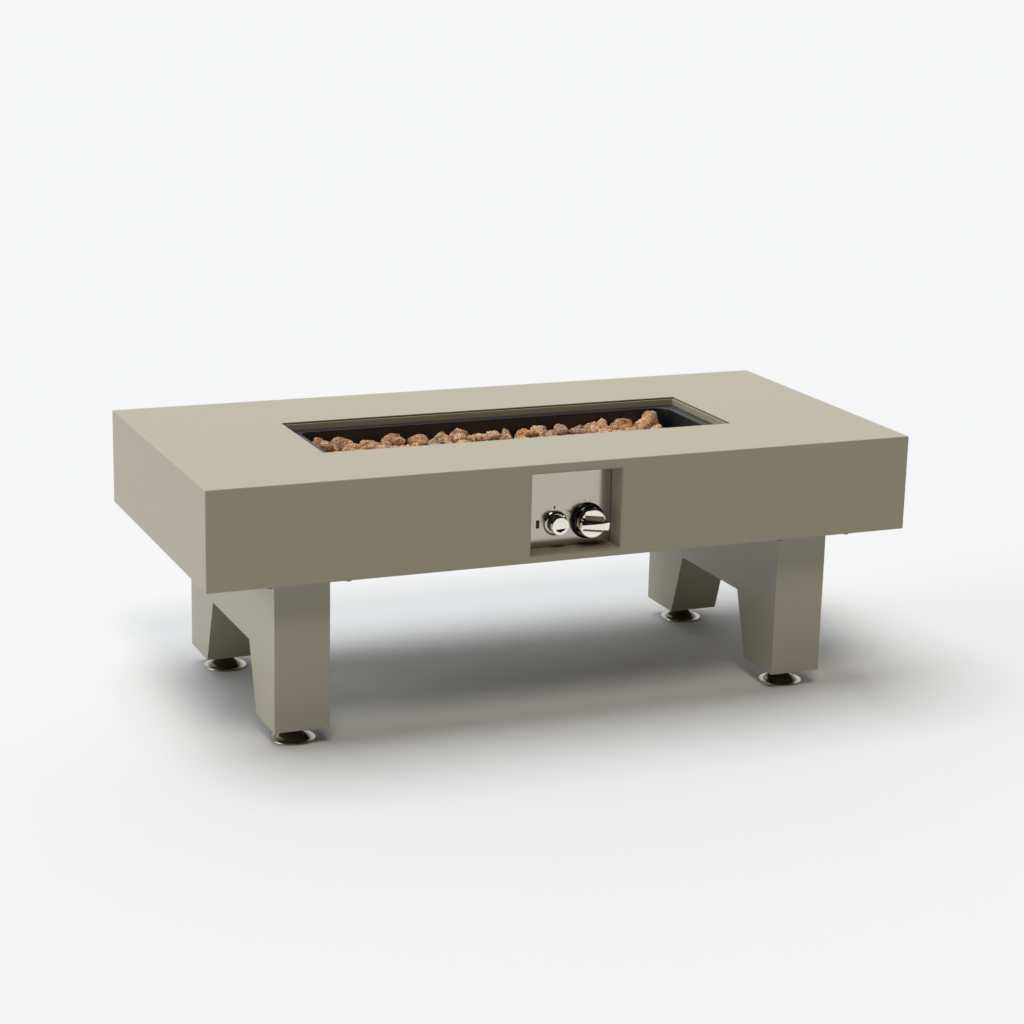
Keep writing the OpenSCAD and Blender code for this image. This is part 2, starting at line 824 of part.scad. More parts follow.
module sensor_bracket() {
    lift_z = floor_z + sensor_lift;
    color(steel) translate([sensor_x, 0, 0]) difference() {
        union() {
            block([0, -sensor_bracket_half_w, floor_z],
                [sensor_bracket_t, sensor_bracket_half_w, floor_z + sensor_bracket_h]);
            block([0, -sensor_bracket_half_w, floor_z],
                [sensor_bracket_t + sensor_foot_l, sensor_bracket_half_w, floor_z + saddle_foot_t]);
        }
        translate([-over, probe_y, lift_z])
            along_x() rod(probe_d + 2 * run_gap, 0, sensor_bracket_t + 2 * over);
        translate([-over, spark_y, lift_z])
            along_x() rod(spark_insulator_d + 2 * run_gap, 0, sensor_bracket_t + 2 * over);
        for (y = [-1, 1]) translate([sensor_screw_x, y * sensor_screw_y, 0])
            rod(pan_screw_d + 2 * hole_gap, floor_z - over, floor_z + saddle_foot_t + over);
    }
}

// Puts children on a probe's axis at the front face of the sensor bracket, +Z to the right
module at_sensor(y) {
    translate([sensor_x, y, floor_z + sensor_lift]) along_x() children();
}

module thermocouple() {
    color(brass) at_sensor(probe_y) {
        rod(probe_d, -probe_front + probe_d / 2, probe_back);
        translate([0, 0, -probe_front + probe_d / 2]) sphere(d = probe_d);
    }
}

module electrode_insulator() {
    color("white") at_sensor(spark_y) pipe(spark_insulator_d, spark_rod_d + 2 * run_gap,
        -spark_insulator_front, spark_insulator_back);
}

module electrode_rod() {
    color(steel) at_sensor(spark_y) rod(spark_rod_d, -spark_rod_front, spark_insulator_back);
}

function unit(v) = v / norm(v);
function tangent(p, i) = unit(p[min(i + 1, len(p) - 1)] - p[max(i - 1, 0)]);

// A normal carried along the route without twist
function normals(p, i, carried) = i == len(p) ? [] :
    let (t = tangent(p, i), n = unit(carried - (carried * t) * t)) concat([n], normals(p, i + 1, n));

// Rings of a round tube along the points of a route
function tube_rings(p, r, first) = let (n = normals(p, 0, first)) [for (i = [0:len(p) - 1])
    let (t = tangent(p, i), b = cross(t, n[i])) for (k = [0:lead_sides - 1])
        let (a = 360 * k / lead_sides) p[i] + r * cos(a) * n[i] + r * sin(a) * b];

// A point between the middle two of four, on a smooth curve through them
function between(a, b, c, d, u) = 0.5 * (2 * b + (c - a) * u + (2 * a - 5 * b + 4 * c - d) * u * u
    + (3 * b - a - 3 * c + d) * u * u * u);
function smooth(p) = concat([for (i = [0:len(p) - 2], u = [0, 0.5]) u == 0 ? p[i] :
    between(p[max(i - 1, 0)], p[i], p[i + 1], p[min(i + 2, len(p) - 1)], u)], [p[len(p) - 1]]);

module lead(route, d, first) {
    points = smooth(route);
    last = len(points) - 1;
    sides = [for (i = [0:last - 1], k = [0:lead_sides - 1])
        let (a = i * lead_sides + k, b = i * lead_sides + (k + 1) % lead_sides)
            [[a, a + lead_sides, b], [b, a + lead_sides, b + lead_sides]]];
    faces = concat([[for (k = [0:lead_sides - 1]) k]],
        [for (pair = sides, face = pair) face],
        [[for (k = [lead_sides - 1:-1:0]) last * lead_sides + k]]);
    polyhedron(points = tube_rings(points, d / 2, first), faces = faces, convexity = 10);
}

module thermocouple_lead() {
    color("#B5713F") {
        lead(probe_lead_route, probe_lead_d, [0, 1, 0]);
        on_panel(knob_x) hex(lead_nut_af, magnet_end_z - lead_nut_l, magnet_end_z);
    }
}

module ignition_wire() {
    color(black) lead(spark_lead_route, spark_lead_d, [0, 0, 1]);
}

module lead_clips() {
    low_z = min(clip_route_z) - spark_lead_d / 2 - clip_reach;
    color(black) for (x = clip_places) difference() {
        block([x - clip_w / 2, min(clip_route_y) - clip_reach, low_z],
            [x + clip_w / 2, max(clip_route_y) + clip_reach, pan_under_z]);
        for (i = [0, 1]) translate([x - clip_w, clip_route_y[i], clip_route_z[i]])
            along_x() rod(spark_lead_d + 2 * hole_gap, 0, 2 * clip_w);
    }
}

module igniter_barrel() {
    color(black) on_panel(igniter_x) difference() {
        union() {
            rod(barrel_d, barrel_end_z, -panel_t);
            rod(neck_d, -panel_t, neck_out);
            rod(terminal_d, barrel_end_z - terminal_l, barrel_end_z);
        }
        rod(neck_bore_d, neck_floor_z, neck_out + over);
        rod(battery_d + 2 * seat_gap, battery_top_z - battery_l - seat_gap,
            battery_top_z + battery_nub_l + seat_gap);
    }
}

module igniter_bezel() {
    color(chrome) on_panel(igniter_x)
        turned_ring(ring_profile_shares, igniter_ring_d, neck_d + 2 * run_gap, igniter_ring_h);
}

module battery() {
    color(zinc) on_panel(igniter_x) {
        rod(battery_d, battery_top_z - battery_l, battery_top_z);
        rod(battery_nub_d, battery_top_z, battery_top_z + battery_nub_l);
    }
}

module igniter_button() {
    skirt_d = neck_d + 2 * button_skirt_gap;
    color(chrome) on_panel(igniter_x) {
        rotate_extrude() polygon([[0, button_face_z - button_skin],
            [skirt_d / 2, button_face_z - button_skin], [skirt_d / 2, button_back_z],
            [button_d / 2, button_back_z], [button_d / 2, button_face_z - button_edge],
            [button_d / 2 - button_edge, button_face_z],
            for (s = button_dish_shares)
                [s[0] * button_dish_d / 2, button_face_z - s[1] * button_dish_depth]]);
        rod(button_plunger_d, button_plunger_z, button_face_z - button_skin);
    }
}

module button_spring() {
    color(steel) on_panel(igniter_x) pipe(button_spring_out_d, button_plunger_d + 2 * seat_gap,
        neck_floor_z + seat_gap, button_face_z - button_skin - seat_gap);
}

module valve_spring() {
    color(steel) on_panel(knob_x) pipe(spring_out_d, spring_in_d, chamber_floor_z + seat_gap,
        collar_top_z - collar_t - plunger_cup_t - 2 * seat_gap);
}

module control_recess() {
    flange_l = 2 * panel_half_w;
    color(paint) difference() {
        union() {
            block([-recess_w / 2 - sleeve_t, front_y, recess_z0 - sleeve_t],
                [recess_w / 2 + sleeve_t, panel_y, recess_z1 + sleeve_t]);
            block([-flange_l / 2, panel_y - sleeve_flange_t, panel_z0],
                [flange_l / 2, panel_y, panel_z1]);
        }
        block([-recess_w / 2, front_y - over, recess_z0], [recess_w / 2, panel_y + over, recess_z1]);
        block([-recess_w / 2 - sleeve_groove_w, panel_y - sleeve_groove_depth,
            recess_z0 - sleeve_groove_w],
            [recess_w / 2 + sleeve_groove_w, panel_y + over, recess_z1 + sleeve_groove_w]);
        panel_screw_places() rod(panel_screw_d + 2 * hole_gap, -over, sleeve_flange_t + over);
    }
}

// Puts children at the panel's four screws, on its front face, +Z out of the panel
module panel_screw_places() {
    x = panel_half_w - panel_screw_inset;
    for (side = [-1, 1], z = [panel_z0 + panel_screw_inset, panel_z1 - panel_screw_inset])
        translate([side * x, panel_y, z]) rotate([90, 0, 0]) children();
}

module control_panel() {
    color(steel) difference() {
        block([-panel_half_w, panel_y, panel_z0], [panel_half_w, panel_back_y, panel_z1]);
        panel_screw_places() rod(panel_screw_d + 2 * hole_gap, -panel_t - over, over);
        on_panel(knob_x) {
            rod(bonnet_d + 2 * hole_gap, -panel_t - over, over);
            for (x = [-1, 1]) translate([x * valve_screw_x, 0, 0])
                rod(valve_screw_d + 2 * hole_gap, -panel_t - over, over);
        }
        on_panel(igniter_x) rod(neck_d + 2 * hole_gap, -panel_t - over, over);
    }
}

module panel_screws() {
    head_z = -panel_t - shield_t;
    color(zinc) panel_screw_places() {
        rod(panel_screw_head_d, head_z - panel_screw_head_h, head_z);
        rod(panel_screw_d, head_z, sleeve_flange_t + panel_screw_tip);
    }
}

module heat_shield() {
    leaf_z = panel_z1 + shield_rise;
    color(zinc) difference() {
        union() {
            block([-panel_half_w, panel_back_y, recess_z1 + sleeve_t],
                [panel_half_w, panel_back_y + shield_t, leaf_z]);
            block([-panel_half_w, panel_back_y, leaf_z - shield_t],
                [panel_half_w, shield_leaf_y, leaf_z]);
            block([-panel_half_w, shield_leaf_y - shield_t, leaf_z - shield_drop],
                [panel_half_w, shield_leaf_y, leaf_z]);
            for (side = [-1, 1]) translate([side * (panel_half_w - panel_screw_inset), 0, 0])
                block([-panel_screw_inset, panel_back_y, panel_z0],
                    [panel_screw_inset, panel_back_y + shield_t, leaf_z]);
        }
        panel_screw_places() rod(panel_screw_d + 2 * hole_gap, -panel_t - shield_t - over, over);
    }
}

module knob_bezel() {
    color(black) on_panel(knob_x)
        turned_ring(bezel_profile_shares, bezel_d, bezel_bore_d, bezel_h);
}

// The flared foot of the grip bar on the knob's face
module grip_flanks() {
    foot_z = knob_face_z - flank_sink;
    crown_z = grip_front_z - grip_edge - flank_drop;
    rotate([90, 0, 90]) translate([0, 0, -flank_l / 2]) linear_extrude(flank_l)
        polygon([[-flank_w / 2, foot_z], [flank_w / 2, foot_z], [flank_w / 2, knob_face_z],
            [grip_w / 2 - flank_sink, crown_z], [-grip_w / 2 + flank_sink, crown_z],
            [-flank_w / 2, knob_face_z]]);
}

module control_knob() {
    color(chrome) on_panel(knob_x) rotate([0, 0, knob_rest_tilt]) difference() {
        union() {
            rotate_extrude() polygon([[0, knob_back_z], [knob_d / 2, knob_back_z],
                [knob_d / 2, knob_face_z - knob_edge], [knob_d / 2 - knob_edge, knob_face_z],
                [0, knob_face_z]]);
            block([-grip_l / 2, -grip_w / 2, grip_back_z],
                [grip_l / 2, grip_w / 2, grip_front_z - grip_edge]);
            block([-grip_l / 2 + grip_edge, -grip_w / 2 + grip_edge, grip_back_z],
                [grip_l / 2 - grip_edge, grip_w / 2 - grip_edge, grip_front_z]);
            grip_flanks();
        }
        pipe(knob_d - 2 * knob_wall, knob_boss_d, knob_back_z - over, knob_hollow_z);
        rod(knob_d - 2 * knob_wall, knob_back_z - over, knob_boss_z);
        rod(spindle_d + 2 * run_gap, knob_back_z - over, spindle_tip_z + seat_gap);
        translate([grip_l / 2 - dot_inset, 0, 0]) rod(dot_d, grip_front_z - dot_depth,
            grip_front_z + over);
    }
}

module valve_spindle() {
    color(steel) on_panel(knob_x) rotate([0, 0, knob_rest_tilt]) {
        difference() {
            rod(spindle_d, collar_top_z - collar_t, spindle_tip_z);
            block([-spindle_d, spindle_d / 2 * spindle_flat_share, spindle_tip_z - spindle_flat_l],
                [spindle_d, spindle_d, spindle_tip_z + over]);
        }
        rod(collar_d, collar_top_z - collar_t, collar_top_z);
    }
}

module safety_plunger() {
    cup_z = collar_top_z - collar_t - seat_gap;
    color(brass) on_panel(knob_x) {
        rod(collar_d, cup_z - plunger_cup_t, cup_z);
        rod(plunger_d, plunger_tip_z, cup_z);
    }
}

module cross_rails() {
    rail_l = table_w - 2 * sheet_t - 2 * rail_gap;
    color(zinc) for (x = [-1, 1]) translate([x * leg_x, 0, 0]) difference() {
        plate(rail_w, rail_l, lip_top_z, lip_top_z + rail_h);
        plate(rail_w - 2 * rail_t, rail_l + 2 * over, lip_top_z + rail_t, lip_top_z + rail_h + over);
        four_ways(rail_screw_x, rail_screw_y)
            rod(rail_screw_d + 2 * run_gap, lip_top_z - over, lip_top_z + rail_t + over);
        four_ways(leg_bolt_x, leg_bolt_y)
            rod(leg_bolt_d + 2 * hole_gap, lip_top_z - over, lip_top_z + rail_t + over);
    }
}

module rail_screws() {
    color(zinc) rail_screw_places() {
        rod(rail_screw_head_d, body_z - rail_screw_head_h, body_z);
        rod(rail_screw_d, body_z, body_z + rail_screw_l);
    }
}

// Half width of the arch in the leg at a height
function arch_half_w(z) = arch_top_w / 2 + (arch_z - z) * arch_slope;

// Outline of the leg, or of its hollow, in the YZ plane
function half_outline(out_y, z0, z1, arch_top, wall) = [[out_y, z1], [out_y, z0],
    [arch_half_w(z0) + wall, z0], [arch_half_w(arch_top) + wall, arch_top]];
function outline(half) = concat(half, [for (p = turned(half)) [-p[0], p[1]]]);

module leg() {
    inner_z0 = foot_h + leg_plate_t;
    inner_z1 = leg_top_z - leg_plate_t;
    color(paint) difference() {
        translate([-leg_w / 2, 0, 0]) upright() linear_extrude(leg_w)
            polygon(outline(half_outline(leg_half_d, foot_h, leg_top_z, arch_z, 0)));
        translate([-leg_w / 2 + leg_t, 0, 0]) upright() linear_extrude(leg_w - 2 * leg_t)
            polygon(outline(half_outline(leg_half_d - leg_t, inner_z0, inner_z1, arch_z + leg_t,
                arch_wall_shift)));
        four_ways(leg_bolt_x, leg_bolt_y)
            rod(leg_bolt_d + 2 * hole_gap, inner_z1 - over, leg_top_z + over);
        for (y = [-1, 1]) translate([0, y * leg_foot_y, 0])
            rod(insert_d + 2 * run_gap, foot_h - over, inner_z0 + over);
    }
}

module left_leg() {
    translate([-leg_x, 0, 0]) leg();
}

module right_leg() {
    translate([leg_x, 0, 0]) leg();
}

module leg_bolts() {
    seat_z = lip_top_z + rail_t;
    color(zinc) leg_bolt_places() {
        rod(leg_bolt_flange_d, seat_z, seat_z + leg_bolt_flange_t);
        hex(leg_bolt_af, seat_z, seat_z + leg_bolt_head_h);
        rod(leg_bolt_d, seat_z - leg_bolt_l, seat_z);
    }
}

module leg_weld_nuts() {
    under_z = leg_top_z - leg_plate_t;
    color(zinc) leg_bolt_places()
        nut(leg_bolt_af, leg_bolt_d + 2 * run_gap, under_z - weld_nut_h, under_z);
}

// Puts children under one leg's foot: left or right, front or back
module at_foot(x, y) {
    translate([x * leg_x, y * leg_foot_y, 0]) children();
}

module foot_inserts() {
    seat_z = foot_h + leg_plate_t;
    color(zinc) for (x = [-1, 1], y = [-1, 1]) at_foot(x, y) difference() {
        union() {
            rod(insert_d, foot_h, foot_h + insert_l);
            rod(insert_flange_d, seat_z, seat_z + insert_flange_t);
        }
        rod(stem_d + 2 * run_gap, foot_h - over, foot_h + insert_l + over);
    }
}

module foot_pad() {
    color(chrome) difference() {
        rotate_extrude() polygon(concat([[0, 0]], scaled(pad_profile_shares, foot_d / 2, pad_h),
            [[0, pad_h]]));
        rod(stem_d + 2 * run_gap, pad_floor_t, pad_h + over);
    }
}

module foot_stem() {
    bottom_z = pad_floor_t + seat_gap;
    color(steel) {
        rod(stem_d, bottom_z, bottom_z + stem_l);
        hex(foot_hex_af, pad_h + seat_gap, foot_h - seat_gap);
    }
}

module front_left_pad() {
    at_foot(-1, -1) foot_pad();
}

module front_right_pad() {
    at_foot(1, -1) foot_pad();
}

module back_left_pad() {
    at_foot(-1, 1) foot_pad();
}

module back_right_pad() {
    at_foot(1, 1) foot_pad();
}

module front_left_stem() {
    at_foot(-1, -1) foot_stem();
}

module front_right_stem() {
    at_foot(1, -1) foot_stem();
}

module back_left_stem() {
    at_foot(-1, 1) foot_stem();
}

module back_right_stem() {
    at_foot(1, 1) foot_stem();
}

// One of a thousand random numbers from 0 to 1, by a rock's row and place and a count
rock_randoms = rands(0, 1, 1000, rock_seed);
function random(row, i, k) = rock_randoms[(row * 173 + i * 31 + k * 7) % 1000];

// How far a rock fills its cell in a direction, more towards the corners than a circle would
function fill(a) = pow(max(abs(cos(a)), abs(sin(a))), -rock_square_share);

// A lump of rock that stands flat on the origin, by its box and its own random numbers
module rock(size, row, i) {
    rings = len(rock_ring_shares);
    tip = rock_sides * rings;
    turn = 360 * random(row, i, rings * rock_sides);
    points = concat([for (ring = [0:rings - 1], k = [0:rock_sides - 1])
        let (share = rock_ring_shares[ring], n = ring * rock_sides + k,
            a = turn + (k + ring / 2) * 360 / rock_sides,
            reach = share[1] * fill(a) * (1 - rock_rough_share * random(row, i, n)) / 2)
            [size[0] * reach * cos(a), size[1] * reach * sin(a), size[2] * share[0]]],
        [[0, 0, size[2]]]);
    at = function(ring, k) ring * rock_sides + k % rock_sides;
    faces = concat([[for (k = [0:rock_sides - 1]) k]], [for (k = [0:rock_sides - 1]) each concat(
        [for (ring = [0:rings - 2]) each [[at(ring, k), at(ring + 1, k), at(ring, k + 1)],
            [at(ring, k + 1), at(ring + 1, k), at(ring + 1, k + 1)]]],
        [[tip, at(rings - 1, k + 1), at(rings - 1, k)]])]);
    polyhedron(points = points, faces = faces);
}

row_w = pan_w / rock_rows;

// A row of rocks of random lengths between two places along the pan
module rock_row(row, x0, x1, z, h) {
    count = round((x1 - x0) / rock_pitch);
    edges = [for (i = [0:count]) x0 + (x1 - x0) / count
        * (i + (i == 0 || i == count ? 0 : rock_jitter_share * (2 * random(row, i, 0) - 1)))];
    y = row_w * (row - (rock_rows - 1) / 2);
    for (i = [0:count - 1])
        let (slim = row_w * rock_slim_share * random(row, i, 1), side = sign(random(row, i, 2) - 0.5))
            translate([(edges[i] + edges[i + 1]) / 2, y + side * slim / 2, z])
                rock([edges[i + 1] - edges[i] - rock_gap, row_w - rock_gap - slim,
                    h * (1 - rock_rough_share * random(row, i, 3))], row, i);
}

module lava_rocks() {
    x0 = -pan_l / 2 + rock_edge_gap;
    x1 = pan_l / 2 - rock_end_gap;
    middle = (rock_rows - 1) / 2;
    burner_top_z = burner_z + burner_d / 2;
    color(lava) {
        for (row = [0, 1, 3]) rock_row(row, x0, x1, floor_z, rock_h * row_height_shares[row]);
        rock_row(middle, -burner_l / 2, burner_l / 2 - rock_edge_gap, burner_top_z,
            rock_h - burner_lift - burner_d / 2);
        rock_row(middle, x0, -burner_l / 2 - rock_edge_gap, floor_z, rock_h);
        for (i = [0:len(back_row_left_shares) - 1])
            let (l = back_row_left_shares[i] * pan_l, r = back_row_right_shares[i] * pan_l)
                translate([(l + r - pan_l) / 2, row_w * middle, floor_z])
                    rock([r - l, row_w - rock_gap, pan_depth * back_row_height_shares[i]],
                        rock_rows, i);
    }
}

table_shell();
surround_gasket();
burner_surround();
surround_nuts();
burner_pan();
burner_tube();
burner_end_caps();
burner_saddles();
pan_screws();
feed_nipple();
pan_locknuts();
feed_elbow();
mixer_tube();
gas_jet();
jet_holder();
gas_pipe();
pipe_nuts();
outlet_elbow();
valve_body();
valve_screws();
gas_inlet();
magnet_unit();
thermocouple();
thermocouple_lead();
sensor_bracket();
electrode_insulator();
electrode_rod();
ignition_wire();
lead_clips();
igniter_barrel();
igniter_bezel();
battery();
button_spring();
valve_spring();
control_recess();
control_panel();
panel_screws();
knob_bezel();
heat_shield();
cross_rails();
rail_screws();
left_leg();
right_leg();
leg_bolts();
leg_weld_nuts();
foot_inserts();
lava_rocks();
safety_plunger();
control_knob();
valve_spindle();
igniter_button();
front_left_pad();
front_right_pad();
back_left_pad();
back_right_pad();
front_left_stem();
front_right_stem();
back_left_stem();
back_right_stem();
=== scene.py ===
"""Fire pit table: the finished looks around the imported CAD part.

Painted sheet steel gets its folded and cut edges, the lava rock its broken shapes and pores, the
controls their plated, turned forms, and every CAD node that stays the finish of its real material.
Sizes are written in millimetres and turned to metres by one function.
"""

import json
import logging
import math
import random
from dataclasses import dataclass, field
from enum import Enum
from functools import cache
from typing import Callable, Protocol, Sequence

import bmesh
import bpy
from mathutils import Matrix, Vector, noise

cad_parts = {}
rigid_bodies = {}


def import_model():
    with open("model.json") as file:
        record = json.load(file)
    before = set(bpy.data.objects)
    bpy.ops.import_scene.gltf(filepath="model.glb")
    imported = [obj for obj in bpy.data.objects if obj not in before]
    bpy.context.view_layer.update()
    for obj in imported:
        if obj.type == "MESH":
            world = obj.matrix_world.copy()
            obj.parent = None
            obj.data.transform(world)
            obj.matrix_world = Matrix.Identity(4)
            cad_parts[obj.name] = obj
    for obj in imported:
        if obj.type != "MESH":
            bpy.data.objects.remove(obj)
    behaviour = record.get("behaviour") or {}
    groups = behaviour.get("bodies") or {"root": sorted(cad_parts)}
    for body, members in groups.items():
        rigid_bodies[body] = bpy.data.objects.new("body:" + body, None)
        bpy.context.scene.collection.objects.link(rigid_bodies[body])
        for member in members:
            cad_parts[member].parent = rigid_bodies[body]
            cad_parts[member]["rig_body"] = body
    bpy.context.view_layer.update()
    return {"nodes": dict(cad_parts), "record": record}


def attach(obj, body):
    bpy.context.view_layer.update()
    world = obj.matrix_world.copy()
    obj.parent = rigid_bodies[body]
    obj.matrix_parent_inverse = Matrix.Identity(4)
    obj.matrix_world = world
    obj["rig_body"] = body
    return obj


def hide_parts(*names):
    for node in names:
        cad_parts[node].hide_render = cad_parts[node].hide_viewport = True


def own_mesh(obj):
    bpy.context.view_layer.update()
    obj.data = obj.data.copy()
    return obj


LOG = logging.getLogger("fire_pit_table")

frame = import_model()

Point = tuple[float, float, float]
Pair = tuple[float, float]
Profile = Sequence[Pair]
EdgeTest = Callable[[bmesh.types.BMEdge], bool]

MM_PER_M = 1000.0
# Vertices closer than this are one
WELD_MM = 0.004
# A vertex this near to a place counts as there
NEAR_MM = 0.05
# Faces that differ by less than this are one flat
FLAT_DEG = 0.4
# Edges that turn by more than this stay crisp, where a class gives no angle of its own
SHARP_DEG = 38.0
# Sockets of a Mix node's two colours and of their mix, which share their names with others
MIX_FIRST, MIX_SECOND, MIX_RESULT = 6, 7, 2


def mm(length: float) -> float:
    """Metres from millimetres."""
    return length / MM_PER_M


def point_mm(x: float, y: float, z: float) -> Vector:
    """A point in metres from millimetres."""
    return Vector((mm(x), mm(y), mm(z)))


def linear(code: str) -> tuple[float, float, float, float]:
    """Turns an sRGB hex colour to linear light.

    Args:
        code: six hex digits after a hash sign.

    Returns:
        Red, green, blue and an alpha of 1.
    """
    parts = [int(code[i : i + 2], 16) / 255.0 for i in (1, 3, 5)]
    light = [p / 12.92 if p <= 0.04045 else ((p + 0.055) / 1.055) ** 2.4 for p in parts]
    return (light[0], light[1], light[2], 1.0)


def add_node(
    tree: bpy.types.NodeTree,
    kind: str,
    settings: dict[str, object] | None = None,
    inputs: dict[str | int, object] | None = None,
) -> bpy.types.Node:
    """Adds a node with its settings, values and links.

    Args:
        tree: the node tree it goes into.
        kind: Blender's name for the kind of node.
        settings: properties of the node.
        inputs: a value, or another node's output, for each named input.

    Returns:
        The new node.
    """
    made = tree.nodes.new(kind)
    for key, value in (settings or {}).items():
        setattr(made, key, value)
    for key, value in (inputs or {}).items():
        if isinstance(value, bpy.types.NodeSocket):
            tree.links.new(value, made.inputs[key])
        else:
            made.inputs[key].default_value = value
    return made


class Grain(Enum):
    """The pattern that the way a surface was made leaves on it."""

    EVEN = "even"
    PEBBLED = "pebbled"
    BRUSHED = "brushed"
    WOVEN = "woven"


@dataclass(frozen=True)
class Finish:
    """One finish, as a real material with the way its surface was made.

    Attributes:
        name: the material's common name.
        colour: sRGB colour of most of the surface.
        tint: sRGB colour that the pattern drifts towards, the same where there is no pattern.
        metallic: 1 for bare metal.
        roughness: mean roughness.
        rough_swing: how far the pattern moves the roughness each way.
        ior: index of refraction of what isn't metal.
        grain: the pattern.
        grain_mm: size of the pattern.
        depth_mm: height of the pattern.
        coat: strength of a clear coat.
        brush_stretch: how much longer than wide a brush line is.
        weave_stretch: scale of the weave's waves, in grains.
    """

    name: str
    colour: str
    tint: str
    metallic: float
    roughness: float
    rough_swing: float = 0.0
    ior: float = 1.5
    grain: Grain = Grain.PEBBLED
    grain_mm: float = 1.0
    depth_mm: float = 0.01
    coat: float = 0.0
    brush_stretch: float = 120.0
    weave_stretch: float = 3.2

    def pattern(self, tree: bpy.types.NodeTree) -> bpy.types.NodeSocket:
        """Adds the nodes of the grain.

        Args:
            tree: the material's node tree.

        Returns:
            The pattern's height, from 0 to 1.
        """
        place = add_node(tree, "ShaderNodeTexCoord").outputs["Object"]
        rate = 1.0 / mm(self.grain_mm)
        if self.grain is Grain.WOVEN:
            scale = 1.0 / mm(self.grain_mm * self.weave_stretch)
            made = add_node(
                tree,
                "ShaderNodeTexWave",
                {"wave_type": "BANDS", "bands_direction": "DIAGONAL"},
                {"Vector": place, "Scale": scale, "Distortion": 1.0},
            )
            return made.outputs["Fac"]
        looks = {"Vector": place, "Scale": rate, "Detail": 3.0, "Roughness": 0.55}
        if self.grain is Grain.BRUSHED:
            # the lines run along the part's length
            stretched = add_node(
                tree,
                "ShaderNodeMapping",
                inputs={"Vector": place, "Scale": (rate / self.brush_stretch, rate, rate)},
            ).outputs["Vector"]
            looks = {"Vector": stretched, "Scale": 1.0, "Detail": 2.0, "Roughness": 0.6}
        return add_node(tree, "ShaderNodeTexNoise", inputs=looks).outputs["Fac"]

    @cache
    def material(self) -> bpy.types.Material:
        """The finish as a material, made once and shared."""
        made = bpy.data.materials.new(self.name)
        made.use_nodes = True
        tree = made.node_tree
        shader = tree.nodes["Principled BSDF"]
        shader.inputs["Base Color"].default_value = linear(self.colour)
        shader.inputs["Metallic"].default_value = self.metallic
        shader.inputs["Roughness"].default_value = self.roughness
        shader.inputs["IOR"].default_value = self.ior
        shader.inputs["Coat Weight"].default_value = self.coat
        if self.grain is Grain.EVEN:
            return made
        height = self.pattern(tree)
        shade = add_node(
            tree,
            "ShaderNodeMix",
            {"data_type": "RGBA"},
            {"Factor": height, MIX_FIRST: linear(self.colour), MIX_SECOND: linear(self.tint)},
        )
        tree.links.new(shade.outputs[MIX_RESULT], shader.inputs["Base Color"])
        if self.rough_swing:
            rough = add_node(
                tree,
                "ShaderNodeMapRange",
                inputs={
                    "Value": height,
                    "To Min": self.roughness - self.rough_swing,
                    "To Max": self.roughness + self.rough_swing,
                },
            )
            tree.links.new(rough.outputs["Result"], shader.inputs["Roughness"])
        bump = add_node(
            tree,
            "ShaderNodeBump",
            inputs={"Strength": 0.6, "Distance": mm(self.depth_mm), "Height": height},
        )
        tree.links.new(bump.outputs["Normal"], shader.inputs["Normal"])
        return made


